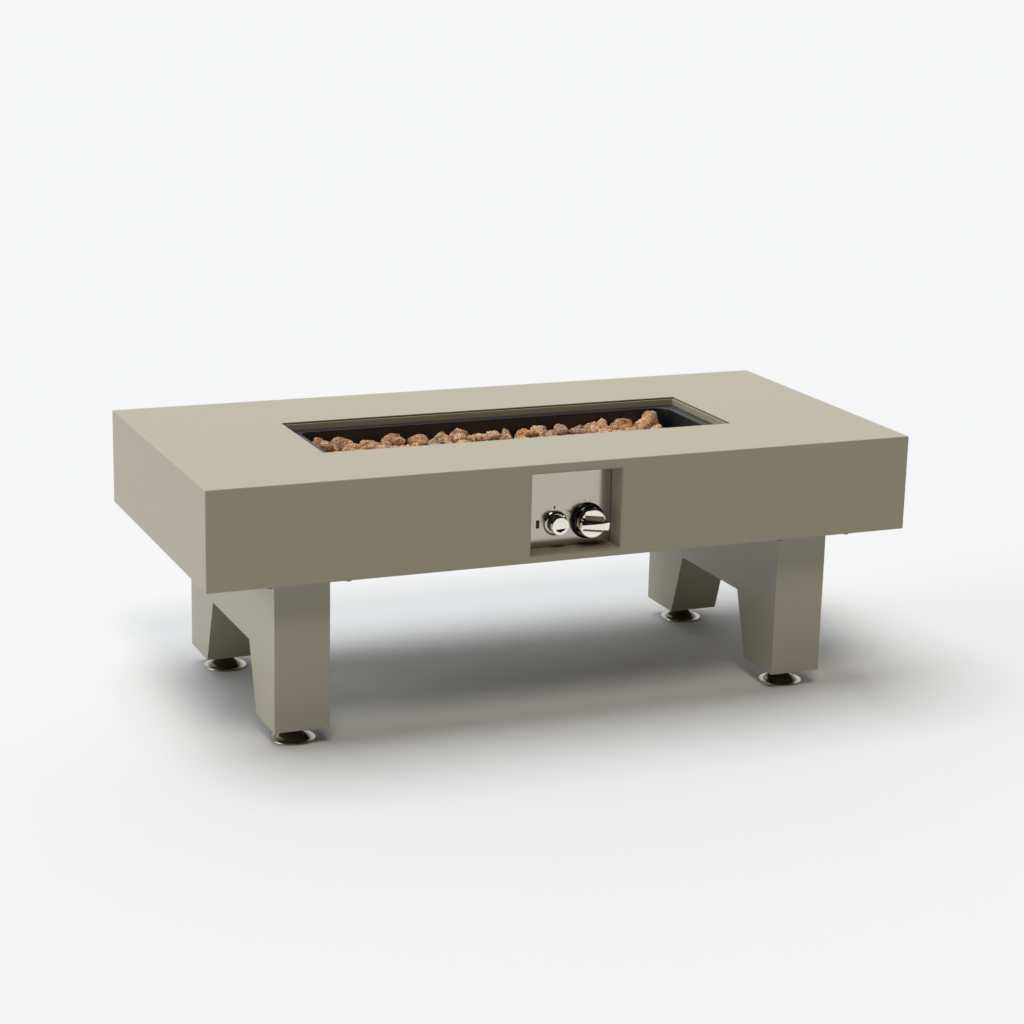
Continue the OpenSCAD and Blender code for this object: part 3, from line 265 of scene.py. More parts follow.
@dataclass(frozen=True)
class LavaStone:
    """Broken scoria: brown to rust lumps with hardly any gloss, painted dark in their pores and
    between their grit as painted shade.

    Attributes:
        name: the material's common name.
        brown: sRGB colour of most lumps.
        rust: sRGB colour of the warm lumps and faces.
        grey: sRGB colour of the ashy lumps.
        pore: sRGB colour inside a pore.
        roughness: roughness of the broken faces.
        specular: strength of their weak gloss.
        lump_mm: about one lump, so that neighbours differ in tone.
        ash_mm: size of the ashy patches.
        pore_mm: distance between pores.
        grit_mm: size of the grit between them.
        relief_mm: depth of a pore.
        rust_band: noise between which brown turns to rust.
        ash_band: noise between which a patch turns ashy.
        grit_band: noise between which grit rises to its full height.
        pore_band: distances from a pore's middle, in pores, between which its wall rises.
    """

    name: str = "lava_stone"
    brown: str = "#CB9B71"
    rust: str = "#E8BC8F"
    grey: str = "#B69C84"
    pore: str = "#553525"
    roughness: float = 0.92
    specular: float = 0.25
    lump_mm: float = 26.0
    ash_mm: float = 44.2
    pore_mm: float = 2.6
    grit_mm: float = 2.08
    relief_mm: float = 1.1
    rust_band: Pair = (0.40, 0.62)
    ash_band: Pair = (0.54, 0.66)
    grit_band: Pair = (0.30, 0.56)
    pore_band: Pair = (0.08, 0.40)

    def material(self) -> bpy.types.Material:
        """The stone as a material."""
        made = bpy.data.materials.new(self.name)
        made.use_nodes = True
        tree = made.node_tree
        shader = tree.nodes["Principled BSDF"]
        shader.inputs["Roughness"].default_value = self.roughness
        shader.inputs["Specular IOR Level"].default_value = self.specular
        place = add_node(tree, "ShaderNodeTexCoord").outputs["Object"]

        def rise(value: bpy.types.NodeSocket, band: Pair) -> bpy.types.NodeSocket:
            """A value stretched from 0 at a band's start to 1 at its end."""
            limits = {"Value": value, "From Min": band[0], "From Max": band[1]}
            return add_node(tree, "ShaderNodeMapRange", inputs=limits).outputs["Result"]

        def cloud(size_mm: float, detail: float, band: Pair) -> bpy.types.NodeSocket:
            """Noise of a size, stretched over a band."""
            looks = {"Vector": place, "Scale": 1.0 / mm(size_mm), "Detail": detail}
            return rise(add_node(tree, "ShaderNodeTexNoise", inputs=looks).outputs["Fac"], band)

        pits = add_node(
            tree,
            "ShaderNodeTexVoronoi",
            {"feature": "F1"},
            {"Vector": place, "Scale": 1.0 / mm(self.pore_mm)},
        )
        height = add_node(
            tree,
            "ShaderNodeMath",
            {"operation": "MULTIPLY"},
            {
                0: rise(pits.outputs["Distance"], self.pore_band),
                1: cloud(self.grit_mm, 4.0, self.grit_band),
            },
        ).outputs["Value"]
        tone = linear(self.brown)
        for factor, colour in (
            (cloud(self.lump_mm, 1.0, self.rust_band), self.rust),
            (cloud(self.ash_mm, 1.0, self.ash_band), self.grey),
        ):
            tone = add_node(
                tree,
                "ShaderNodeMix",
                {"data_type": "RGBA"},
                {"Factor": factor, MIX_FIRST: tone, MIX_SECOND: linear(colour)},
            ).outputs[MIX_RESULT]
        # Painted shade: where the height is low, in a pore or between the grit, the tone turns to
        # the dark pore colour.
        shade = add_node(
            tree,
            "ShaderNodeMix",
            {"data_type": "RGBA"},
            {"Factor": height, MIX_FIRST: linear(self.pore), MIX_SECOND: tone},
        )
        tree.links.new(shade.outputs[MIX_RESULT], shader.inputs["Base Color"])
        bump = add_node(
            tree,
            "ShaderNodeBump",
            inputs={"Strength": 1.0, "Distance": mm(self.relief_mm), "Height": height},
        )
        tree.links.new(bump.outputs["Normal"], shader.inputs["Normal"])
        return made


# Polyester powder coat on steel, baked: a fine dry texture with a low sheen. Its real grain of
# about 0.3 mm is too fine to show, so it is drawn at 1.1 mm.
POWDER_COAT = Finish("polyester_coat", "#978F79", "#928A74", 0.0, 0.38, 0.04, grain_mm=1.1)
# The same powder coat on the legs, painted a little greyer and lighter as painted light for the
# paler sheen their sides catch.
LEG_COAT_PAINTED_LIGHT = Finish("polyester_coat_legs_lit", "#9D9784", "#98927F", 0.0, 0.38, 0.04, grain_mm=1.1)
# Heat-resistant black stove enamel on the pan: nearly matt, with a soft grey glow on its bends.
STOVE_ENAMEL = Finish("stove_enamel", "#101113", "#17181A", 0.0, 0.42, 0.05, grain_mm=0.9)
# Brushed 304 stainless sheet: lines 0.2 mm apart in reality, drawn at 0.45 mm, that smear what it
# mirrors sideways.
BRUSHED_STAINLESS = Finish(
    "brushed_stainless", "#BFB7AA", "#B5AD9F", 1.0, 0.18, 0.03, 1.5, Grain.BRUSHED, 0.45, 0.001
)
# Stainless tube and stamped parts around the burner: satin, slightly uneven.
SATIN_STAINLESS = Finish(
    "satin_stainless", "#BFBBB4", "#ABA79F", 1.0, 0.34, 0.06, grain_mm=3.0, depth_mm=0.004
)
# Bright zinc plate on screws, nuts and rails: bluish and a little cloudy.
ZINC_PLATE = Finish(
    "zinc_plate", "#B9BCBE", "#9FA3A6", 1.0, 0.38, 0.08, grain_mm=4.0, depth_mm=0.004
)
# Bright chrome over nickel on the knob and the cap: a warm, almost white mirror.
NICKEL_CHROME = Finish("nickel_chrome_plate", "#EFE9DF", "#EFE9DF", 1.0, 0.05, grain=Grain.EVEN)
# Plain chrome plate on the igniter's ring: a darker mirror.
CHROME_PLATE = Finish("chrome_plate", "#BFBBB4", "#BFBBB4", 1.0, 0.07, grain=Grain.EVEN)
# Satin nickel plate on the feet's flanges: soft and even.
SATIN_NICKEL = Finish("satin_nickel_plate", "#B9B2A6", "#B9B2A6", 1.0, 0.3, grain=Grain.EVEN)
# The feet's domes, of the same pressing as the flanges: a dark, glossy mirror, its darkness a
# painted reflection of the shade under the legs.
DOME_PAINTED_REFLECTION = Finish("dome_plate_painted_reflection", "#6B655C", "#6B655C", 1.0, 0.12, grain=Grain.EVEN)
# Phenolic moulding of the knob's bezel: deep black with a high gloss.
BLACK_PHENOLIC = Finish("black_phenolic", "#0D0C0B", "#0D0C0B", 0.0, 0.12, grain=Grain.EVEN)
# Zinc coat on the rails' screws, painted dark grey and matt: painted shade for the shadow they sit
# in under the top.
RAIL_SCREW_SHADE = Finish("rail_screw_zinc_painted_shade", "#5E5F5A", "#50514D", 1.0, 0.55, 0.06, depth_mm=0.005)
# Turned brass gas fittings, left bare: warm and satin.
TURNED_BRASS = Finish(
    "turned_brass", "#C6A15B", "#B08C4B", 1.0, 0.32, 0.06, grain_mm=2.0, depth_mm=0.003
)
# Die-cast aluminium of the valve body: dull grey, with a cast skin.
DIE_CAST_ALUMINIUM = Finish(
    "die_cast_aluminium", "#A9ABAB", "#989A9A", 1.0, 0.48, 0.06, grain_mm=1.2, depth_mm=0.02
)
# Moulded ABS of the igniter's barrel and the lead clips: black with a fine eroded grain.
MOULDED_ABS = Finish("moulded_abs", "#131314", "#1A1A1B", 0.0, 0.42, 0.05, 1.53, grain_mm=0.8)
# Silicone rubber cover of the spark lead: black and soft.
SILICONE_RUBBER = Finish(
    "silicone_rubber", "#161515", "#1E1D1C", 0.0, 0.6, 0.05, 1.41, grain_mm=0.7
)
# Drawn copper of the thermocouple's lead: warm and bright.
DRAWN_COPPER = Finish(
    "drawn_copper", "#C98A63", "#B87B57", 1.0, 0.3, 0.06, grain_mm=2.5, depth_mm=0.003
)
# Glazed ceramic of the spark electrode: off-white under a clear glaze.
GLAZED_CERAMIC = Finish(
    "glazed_ceramic", "#E6E2D8", "#DEDACF", 0.0, 0.2, 0.03, 1.55, Grain.PEBBLED, 1.5, 0.004, 0.5
)
# Woven glass-fibre tape under the top: dull black cloth, its 1 mm weave in slanted lines, its black
# a painted shade that darkens the gap between the top and the surround.
GAP_SHADE_TAPE = Finish(
    "glass_fibre_tape_gap_shade", "#1C1C1D", "#2C2C2D", 0.0, 0.85, 0.05, grain=Grain.WOVEN, depth_mm=0.1
)
# Tinned steel can of the battery: grey and smooth.
TINNED_STEEL = Finish(
    "tinned_steel", "#8E8F90", "#868788", 1.0, 0.35, 0.04, grain_mm=3.0, depth_mm=0.002
)
# Screen ink on the panel: dense, nearly black and matt.
SCREEN_INK = Finish("screen_ink", "#1A1816", "#1A1816", 0.0, 0.6, grain=Grain.EVEN)
# Painted studio floor: pale, matt and even.
STUDIO_FLOOR = Finish("studio_floor", "#CDCDCC", "#CDCDCC", 0.0, 0.9, grain=Grain.EVEN)


@dataclass
class Piece:
    """A new piece of the scene, from a finished bmesh to an object on its body.

    Attributes:
        name: the piece's name.
        body: the CAD body it moves with.
        slot: the record's material slot.
        finish: what it is made of.
        replaces: the CAD nodes it stands for.
    """

    name: str
    body: str
    slot: str
    finish: Finish | LavaStone
    replaces: tuple[str, ...] = ()

    def build(
        self, bm: bmesh.types.BMesh, sharp_deg: float = SHARP_DEG, flats: bool = True
    ) -> bpy.types.Object:
        """Makes the object from the bmesh and frees it.

        Args:
            bm: the piece's mesh, in metres, in its place.
            sharp_deg: edges that turn by more than this stay crisp.
            flats: whether its flat faces are kept from being shaded by the bends beside them.

        Returns:
            The new object.
        """
        limit = math.radians(sharp_deg)
        for face in bm.faces:
            face.smooth = True
        for edge in bm.edges:
            edge.smooth = not (len(edge.link_faces) == 2 and edge.calc_face_angle(0.0) > limit)
        mesh = bpy.data.meshes.new(self.name)
        bm.to_mesh(mesh)
        bm.free()
        made = bpy.data.objects.new(self.name, mesh)
        bpy.context.scene.collection.objects.link(made)
        mesh.materials.append(self.finish.material())
        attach(made, self.body)
        if self.replaces:
            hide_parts(*self.replaces)
        if flats:
            weighted = made.modifiers.new("flat_sheet", "WEIGHTED_NORMAL")
            weighted.mode = "FACE_AREA"
            weighted.keep_sharp = True
        LOG.info("%s on %s, %d faces", self.name, self.body, len(mesh.polygons))
        return made


def merged_copy(node: str) -> bmesh.types.BMesh:
    """A CAD node's mesh with its loose triangles joined and its flats cleared of edges.

    Args:
        node: the CAD node's name.

    Returns:
        The merged mesh.
    """
    bm = bmesh.new()
    bm.from_mesh(frame["nodes"][node].data)
    bmesh.ops.remove_doubles(bm, verts=bm.verts[:], dist=mm(WELD_MM))
    bmesh.ops.dissolve_limit(
        bm, angle_limit=math.radians(FLAT_DEG), verts=bm.verts[:], edges=bm.edges[:]
    )
    return bm


def bend_edges(
    bm: bmesh.types.BMesh, radius_mm: float, chosen: EdgeTest, segments: int = 3
) -> None:
    """Rounds the sharp edges that a test picks.

    Args:
        bm: the mesh.
        radius_mm: how far the rounding reaches from the edge.
        chosen: says whether an edge is rounded.
        segments: flats across the rounding.
    """
    sharp = math.radians(SHARP_DEG)
    edges = [
        e
        for e in bm.edges
        if len(e.link_faces) == 2 and e.calc_face_angle(0.0) > sharp and chosen(e)
    ]
    if edges:
        bmesh.ops.bevel(
            bm,
            geom=edges,
            offset=mm(radius_mm),
            offset_type="OFFSET",
            segments=segments,
            profile=0.5,
            affect="EDGES",
            clamp_overlap=True,
            material=-1,
        )


def convex(edge: bmesh.types.BMEdge) -> bool:
    """Whether an edge is an outer one."""
    return edge.is_convex


def edge_at(axis: int, place_mm: float) -> EdgeTest:
    """A test for edges with both ends at plus or minus a place on an axis.

    Args:
        axis: 0 for X, 1 for Y, 2 for Z.
        place_mm: the distance from the origin's plane.

    Returns:
        The test.
    """

    def test(edge: bmesh.types.BMEdge) -> bool:
        """Whether both ends are at the place."""
        return all(abs(abs(v.co[axis]) - mm(place_mm)) < mm(NEAR_MM) for v in edge.verts)

    return test


def turned(
    profile: Profile, place: Matrix, steps: int = 96, closed: bool = True
) -> bmesh.types.BMesh:
    """A solid turned from a profile of radius and height about the local Z axis.

    Args:
        profile: radii and heights in millimetres, in order.
        place: puts the local axes in the row frame.
        steps: flats around.
        closed: whether the last point joins the first, as on a ring.

    Returns:
        The mesh, in its place.
    """
    bm = bmesh.new()
    points = [bm.verts.new(point_mm(r, 0.0, z)) for r, z in profile]
    edges = [bm.edges.new(pair) for pair in zip(points, points[1:])]
    if closed:
        edges.append(bm.edges.new((points[-1], points[0])))
    bmesh.ops.spin(
        bm,
        geom=points + edges,
        cent=(0.0, 0.0, 0.0),
        axis=(0.0, 0.0, 1.0),
        angle=math.tau,
        steps=steps,
        use_merge=True,
    )
    bmesh.ops.remove_doubles(bm, verts=bm.verts[:], dist=mm(WELD_MM))
    bmesh.ops.recalc_face_normals(bm, faces=bm.faces[:])
    bmesh.ops.transform(bm, matrix=place, verts=bm.verts[:])
    return bm


def add_block(bm: bmesh.types.BMesh, low: Point, high: Point, place: Matrix) -> None:
    """Adds a box between two corners.

    Args:
        bm: the mesh it goes into.
        low: lowest corner in millimetres.
        high: highest corner in millimetres.
        place: puts the local axes in the row frame.
    """
    made = bmesh.ops.create_cube(bm, size=1.0)["verts"]
    size = Vector([mm(b - a) for a, b in zip(low, high)])
    middle = Vector([mm(a + b) / 2.0 for a, b in zip(low, high)])
    bmesh.ops.scale(bm, vec=size, verts=made)
    bmesh.ops.translate(bm, vec=middle, verts=made)
    bmesh.ops.transform(bm, matrix=place, verts=made)


@dataclass
class PaintedSheetWork:
    """The housing, surround, recess sleeve and legs, with the bends and cut edges of folded sheet.

    Attributes:
        half_length_mm: half of the table's length.
        half_width_mm: half of its width.
        height_mm: top of the table.
        apron_mm: depth of the housing.
        bend_mm: outer radius of a fold.
        cut_mm: wear on a cut edge.
        leg_bend_mm: outer radius of the leg's folds.
        sleeve_bend_mm: rounding of the recess sleeve's front edge.
        shell_sharp_deg: edges of the housing that turn by more than this stay crisp.
    """

    half_length_mm: float = 550.0
    half_width_mm: float = 260.0
    height_mm: float = 400.0
    apron_mm: float = 145.0
    bend_mm: float = 1.3
    cut_mm: float = 0.35
    leg_bend_mm: float = 1.5
    sleeve_bend_mm: float = 1.0
    shell_sharp_deg: float = 30.0

    def on_outside(self, edge: bmesh.types.BMEdge) -> bool:
        """Whether an edge is a fold on the housing's outside."""
        box = (self.half_length_mm, self.half_width_mm)
        levels = (self.height_mm, self.height_mm - self.apron_mm)
        sides = sum(edge_at(axis, box[axis])(edge) for axis in (0, 1))
        return sides + any(edge_at(2, z)(edge) for z in levels) >= 2

    def build_shell(self) -> None:
        """The housing, its outer folds rounder than its cut edges."""
        bm = merged_copy("table_shell")
        bend_edges(bm, self.bend_mm, self.on_outside, segments=4)
        bend_edges(bm, self.cut_mm, lambda e: e.is_convex and not self.on_outside(e), segments=2)
        shell = Piece("table_shell_folded", "table", "powder_coat", POWDER_COAT, ("table_shell",))
        shell.build(bm, self.shell_sharp_deg)

    def build_folded(
        self, node: str, radius_mm: float, finish: Finish = POWDER_COAT, chosen: EdgeTest = convex
    ) -> None:
        """A painted part with one radius on its outer edges.

        Args:
            node: the CAD node it stands for.
            radius_mm: the rounding.
            finish: its paint.
            chosen: says whether an edge is rounded.
        """
        bm = merged_copy(node)
        bend_edges(bm, radius_mm, chosen)
        Piece(node + "_folded", "table", "powder_coat", finish, (node,)).build(bm)

    def build(self) -> None:
        """All the painted pieces."""
        self.build_shell()
        front = edge_at(1, self.half_width_mm)
        self.build_folded(
            "control_recess", self.sleeve_bend_mm, chosen=lambda e: e.is_convex and front(e)
        )
        self.build_folded("burner_surround", self.cut_mm)
        # The legs take the lighter, greyer copy of the coat, as painted light.
        for leg in ("left_leg", "right_leg"):
            self.build_folded(leg, self.leg_bend_mm, LEG_COAT_PAINTED_LIGHT)


@dataclass
class PressedPan:
    """The black pan, its flange rolled down into the well as a press leaves it.

    Attributes:
        half_length_mm: half of the well's length.
        half_width_mm: half of its width.
        flange_mm: height of the flange's top.
        sheet_mm: its thickness.
        roll_mm: outer radius of the rolled edge.
    """

    half_length_mm: float = 307.5
    half_width_mm: float = 82.5
    flange_mm: float = 388.0
    sheet_mm: float = 1.2
    roll_mm: float = 5.5

    def on_well(self, edge: bmesh.types.BMEdge, level_mm: float, out_mm: float) -> bool:
        """Whether an edge lies on the well's outline at a level."""
        return all(
            abs(v.co.z - mm(level_mm)) < mm(NEAR_MM)
            and abs(v.co.x) < mm(self.half_length_mm + out_mm + NEAR_MM)
            and abs(v.co.y) < mm(self.half_width_mm + out_mm + NEAR_MM)
            for v in edge.verts
        )

    def build(self) -> None:
        """The pan."""
        bm = merged_copy("burner_pan")
        under = self.flange_mm - self.sheet_mm
        bend_edges(
            bm,
            self.roll_mm - self.sheet_mm,
            lambda e: not e.is_convex and self.on_well(e, under, self.sheet_mm),
            segments=5,
        )
        bend_edges(bm, self.roll_mm, lambda e: self.on_well(e, self.flange_mm, 0.0), segments=6)
        pan = Piece("burner_pan_pressed", "table", "pan_enamel", STOVE_ENAMEL, ("burner_pan",))
        pan.build(bm)


@dataclass
class LavaBed:
    """Lava rock in the pan: a broken, faceted lump for each CAD one, and small chips in the gaps.

    Attributes:
        seed: start of the stones' random numbers.
        facets: flat faces that one stone is broken to.
        facet_turn: turn from one facet to the next, which spreads them evenly.
        facet_jitter: how far a facet strays from its even place, in height and in turn.
        nearest_facet: distance of the deepest facet, as a share of the stone's radius.
        crispness: how sharply facets meet.
        rough_shares: height of each layer of unevenness, as a share of the radius.
        rough_rates: how often each layer repeats around a stone.
        rough_reach: how far apart two stones' unevenness may be read.
        growth: size of a lump over the CAD one, along and across the pan.
        scatter_mm: how far a lump is moved from the CAD one's place, along and across the pan.
        pan_half_mm: the pan's well, which no lump leaves.
        lump_fineness: subdivisions of the sphere a lump starts from.
        chip_fineness: subdivisions of the sphere a chip starts from.
        gaps: gaps between the rows of lumps, each with chips in it.
        row_mm: distance between the rows of lumps.
        chips_in_gap: chips in each gap.
        chip_pitch_mm: distance between chips.
        chip_scatter_mm: how far a chip is moved along and across the pan, and raised.
        chip_low_mm: height of the lowest chip's underside.
        chip_size_mm: usual half size of a chip.
        chip_sizes: smallest and largest chip, as shares of the usual size.
        chip_lengths: shortest and longest chip, as shares of its width.
        chip_heights: lowest and highest chip, as shares of its width.
        sharp_deg: edges that turn by more than this stay crisp.
    """

    seed: int = 7
    facets: int = 17
    facet_turn: float = 2.39996
    facet_jitter: Pair = (0.12, 0.4)
    nearest_facet: float = 0.70
    crispness: float = 16.0
    rough_shares: tuple[float, ...] = (0.20, 0.11, 0.06, 0.035)
    rough_rates: tuple[float, ...] = (1.3, 2.9, 6.1, 12.5)
    rough_reach: float = 50.0
    growth: Pair = (1.24, 1.20)
    scatter_mm: Pair = (5.0, 4.5)
    pan_half_mm: Pair = (300.0, 82.0)
    lump_fineness: int = 4
    chip_fineness: int = 3
    gaps: int = 4
    row_mm: float = 33.0
    chips_in_gap: int = 27
    chip_pitch_mm: float = 21.5
    chip_scatter_mm: Point = (8.0, 7.0, 6.0)
    chip_low_mm: float = 352.0
    chip_size_mm: float = 9.0
    chip_sizes: Pair = (0.7, 1.25)
    chip_lengths: Pair = (0.9, 1.4)
    chip_heights: Pair = (0.7, 1.0)
    sharp_deg: float = 60.0

    def lumps(self) -> list[tuple[Vector, Vector]]:
        """Lowest and highest corner of each CAD lump."""
        bm = bmesh.new()
        bm.from_mesh(frame["nodes"]["lava_rocks"].data)
        bmesh.ops.remove_doubles(bm, verts=bm.verts[:], dist=mm(WELD_MM))
        bm.verts.index_update()
        seen: set[int] = set()
        found = []
        for first in bm.verts:
            if first.index in seen:
                continue
            seen.add(first.index)
            group = [first]
            for v in group:
                for edge in v.link_edges:
                    other = edge.other_vert(v)
                    if other.index not in seen:
                        seen.add(other.index)
                        group.append(other)
            low = Vector([min(v.co[i] for v in group) for i in range(3)])
            high = Vector([max(v.co[i] for v in group) for i in range(3)])
            found.append((low, high))
        bm.free()
        return found

    def grown(self, low: Vector, high: Vector, draw: random.Random) -> tuple[Vector, Vector]:
        """A lump's corners, loosely placed and moved out to its neighbours, but not the pan.

        Args:
            low: the lump's lowest corner.
            high: its highest corner.
            draw: the random numbers.

        Returns:
            The new corners.
        """
        for i in (0, 1):
            spread = (high[i] - low[i]) * (self.growth[i] - 1.0) / 2.0
            step = mm(self.scatter_mm[i]) * draw.uniform(-1.0, 1.0)
            limit = mm(self.pan_half_mm[i])
            low[i] = max(-limit, low[i] - spread + step)
            high[i] = min(limit, high[i] + spread + step)
        return low, high

    def broken_faces(self, draw: random.Random) -> list[Vector]:
        """The facets of one stone, each as its normal over its distance.

        Args:
            draw: the random numbers.

        Returns:
            One vector for each facet.
        """
        turn = draw.uniform(0.0, math.tau)
        off, swing = self.facet_jitter
        planes = []
        for i in range(self.facets):
            height = 1.0 - (2.0 * i + 1.0) / self.facets + draw.uniform(-off, off)
            height = max(-1.0, min(1.0, height))
            around = turn + i * self.facet_turn + draw.uniform(-swing, swing)
            flat = math.sqrt(1.0 - height * height)
            normal = Vector((flat * math.cos(around), flat * math.sin(around), height))
            planes.append(normal / draw.uniform(self.nearest_facet, 1.0))
        return planes

    def add_stone(
        self, bm: bmesh.types.BMesh, low: Vector, high: Vector, draw: random.Random, fineness: int
    ) -> None:
        """Adds one broken stone that fills a box.

        Args:
            bm: the mesh it goes into.
            low: the box's lowest corner.
            high: its highest corner.
            draw: the random numbers.
            fineness: subdivisions of the sphere it starts from.
        """
        made = bmesh.ops.create_icosphere(bm, subdivisions=fineness, radius=1.0)["verts"]
        planes = self.broken_faces(draw)
        far, power = self.rough_reach, self.crispness
        shift = Vector([draw.uniform(-far, far) for _ in range(3)])
        for v in made:
            way = v.co.normalized()
            reach = sum(max(0.0, plane.dot(way)) ** power for plane in planes) ** (-1.0 / power)
            rough = 1.0 + sum(
                share * noise.noise(way * rate + shift * (rate + 1.0))
                for share, rate in zip(self.rough_shares, self.rough_rates)
            )
            v.co = way * reach * rough
        least = Vector([min(v.co[i] for v in made) for i in range(3)])
        most = Vector([max(v.co[i] for v in made) for i in range(3)])
        for v in made:
            for i in range(3):
                share = (v.co[i] - least[i]) / (most[i] - least[i])
                v.co[i] = low[i] + share * (high[i] - low[i])

    def chip_box(self, gap: int, place: int, draw: random.Random) -> tuple[Vector, Vector]:
        """The box of one chip.

        Args:
            gap: which gap between rows it lies in.
            place: its place along the gap.
            draw: the random numbers.

        Returns:
            Its lowest and highest corner.
        """
        along, across, up = self.chip_scatter_mm
        size = self.chip_size_mm * draw.uniform(*self.chip_sizes)
        middle = Vector(
            (
                (place - (self.chips_in_gap - 1) / 2.0) * self.chip_pitch_mm
                + draw.uniform(-along, along),
                (gap - (self.gaps - 1) / 2.0) * self.row_mm + draw.uniform(-across, across),
                self.chip_low_mm + draw.uniform(0.0, up) + size,
            )
        )
        length = size * draw.uniform(*self.chip_lengths)
        half = Vector((length, size, size * draw.uniform(*self.chip_heights)))
        return (middle - half) / MM_PER_M, (middle + half) / MM_PER_M

    def build(self) -> None:
        """The whole bed as one piece."""
        draw, scatter = random.Random(self.seed), random.Random(self.seed + 1)
        bm = bmesh.new()
        for low, high in self.lumps():
            self.add_stone(bm, *self.grown(low, high, scatter), draw, self.lump_fineness)
        for gap in range(self.gaps):
            for place in range(self.chips_in_gap):
                self.add_stone(bm, *self.chip_box(gap, place, draw), draw, self.chip_fineness)
        bed = Piece("lava_rock_bed", "table", "lava", LavaStone(), ("lava_rocks",))
        bed.build(bm, self.sharp_deg, flats=False)


@dataclass(frozen=True)
class PanelAxes:
    """Where the controls stand on the panel, all square to it.

    Attributes:
        panel_y_mm: the panel's front face.
        axis_z_mm: height of both controls' axes.
        knob_x_mm: place of the knob's axis.
        igniter_x_mm: place of the igniter's axis.
    """

    panel_y_mm: float = -223.0
    axis_z_mm: float = 301.5
    knob_x_mm: float = 33.5
    igniter_x_mm: float = -17.5

    def at(self, x_mm: float, turn_deg: float = 0.0) -> Matrix:
        """Puts local axes on an axis, +Z out of the panel and +Y up.

        Args:
            x_mm: the axis's place along the table.
            turn_deg: turn about the axis.

        Returns:
            The matrix into the row frame.
        """
        foot = Matrix.Translation(point_mm(x_mm, self.panel_y_mm, self.axis_z_mm))
        upright = Matrix.Rotation(math.radians(90.0), 4, "X")
        return foot @ upright @ Matrix.Rotation(math.radians(turn_deg), 4, "Z")


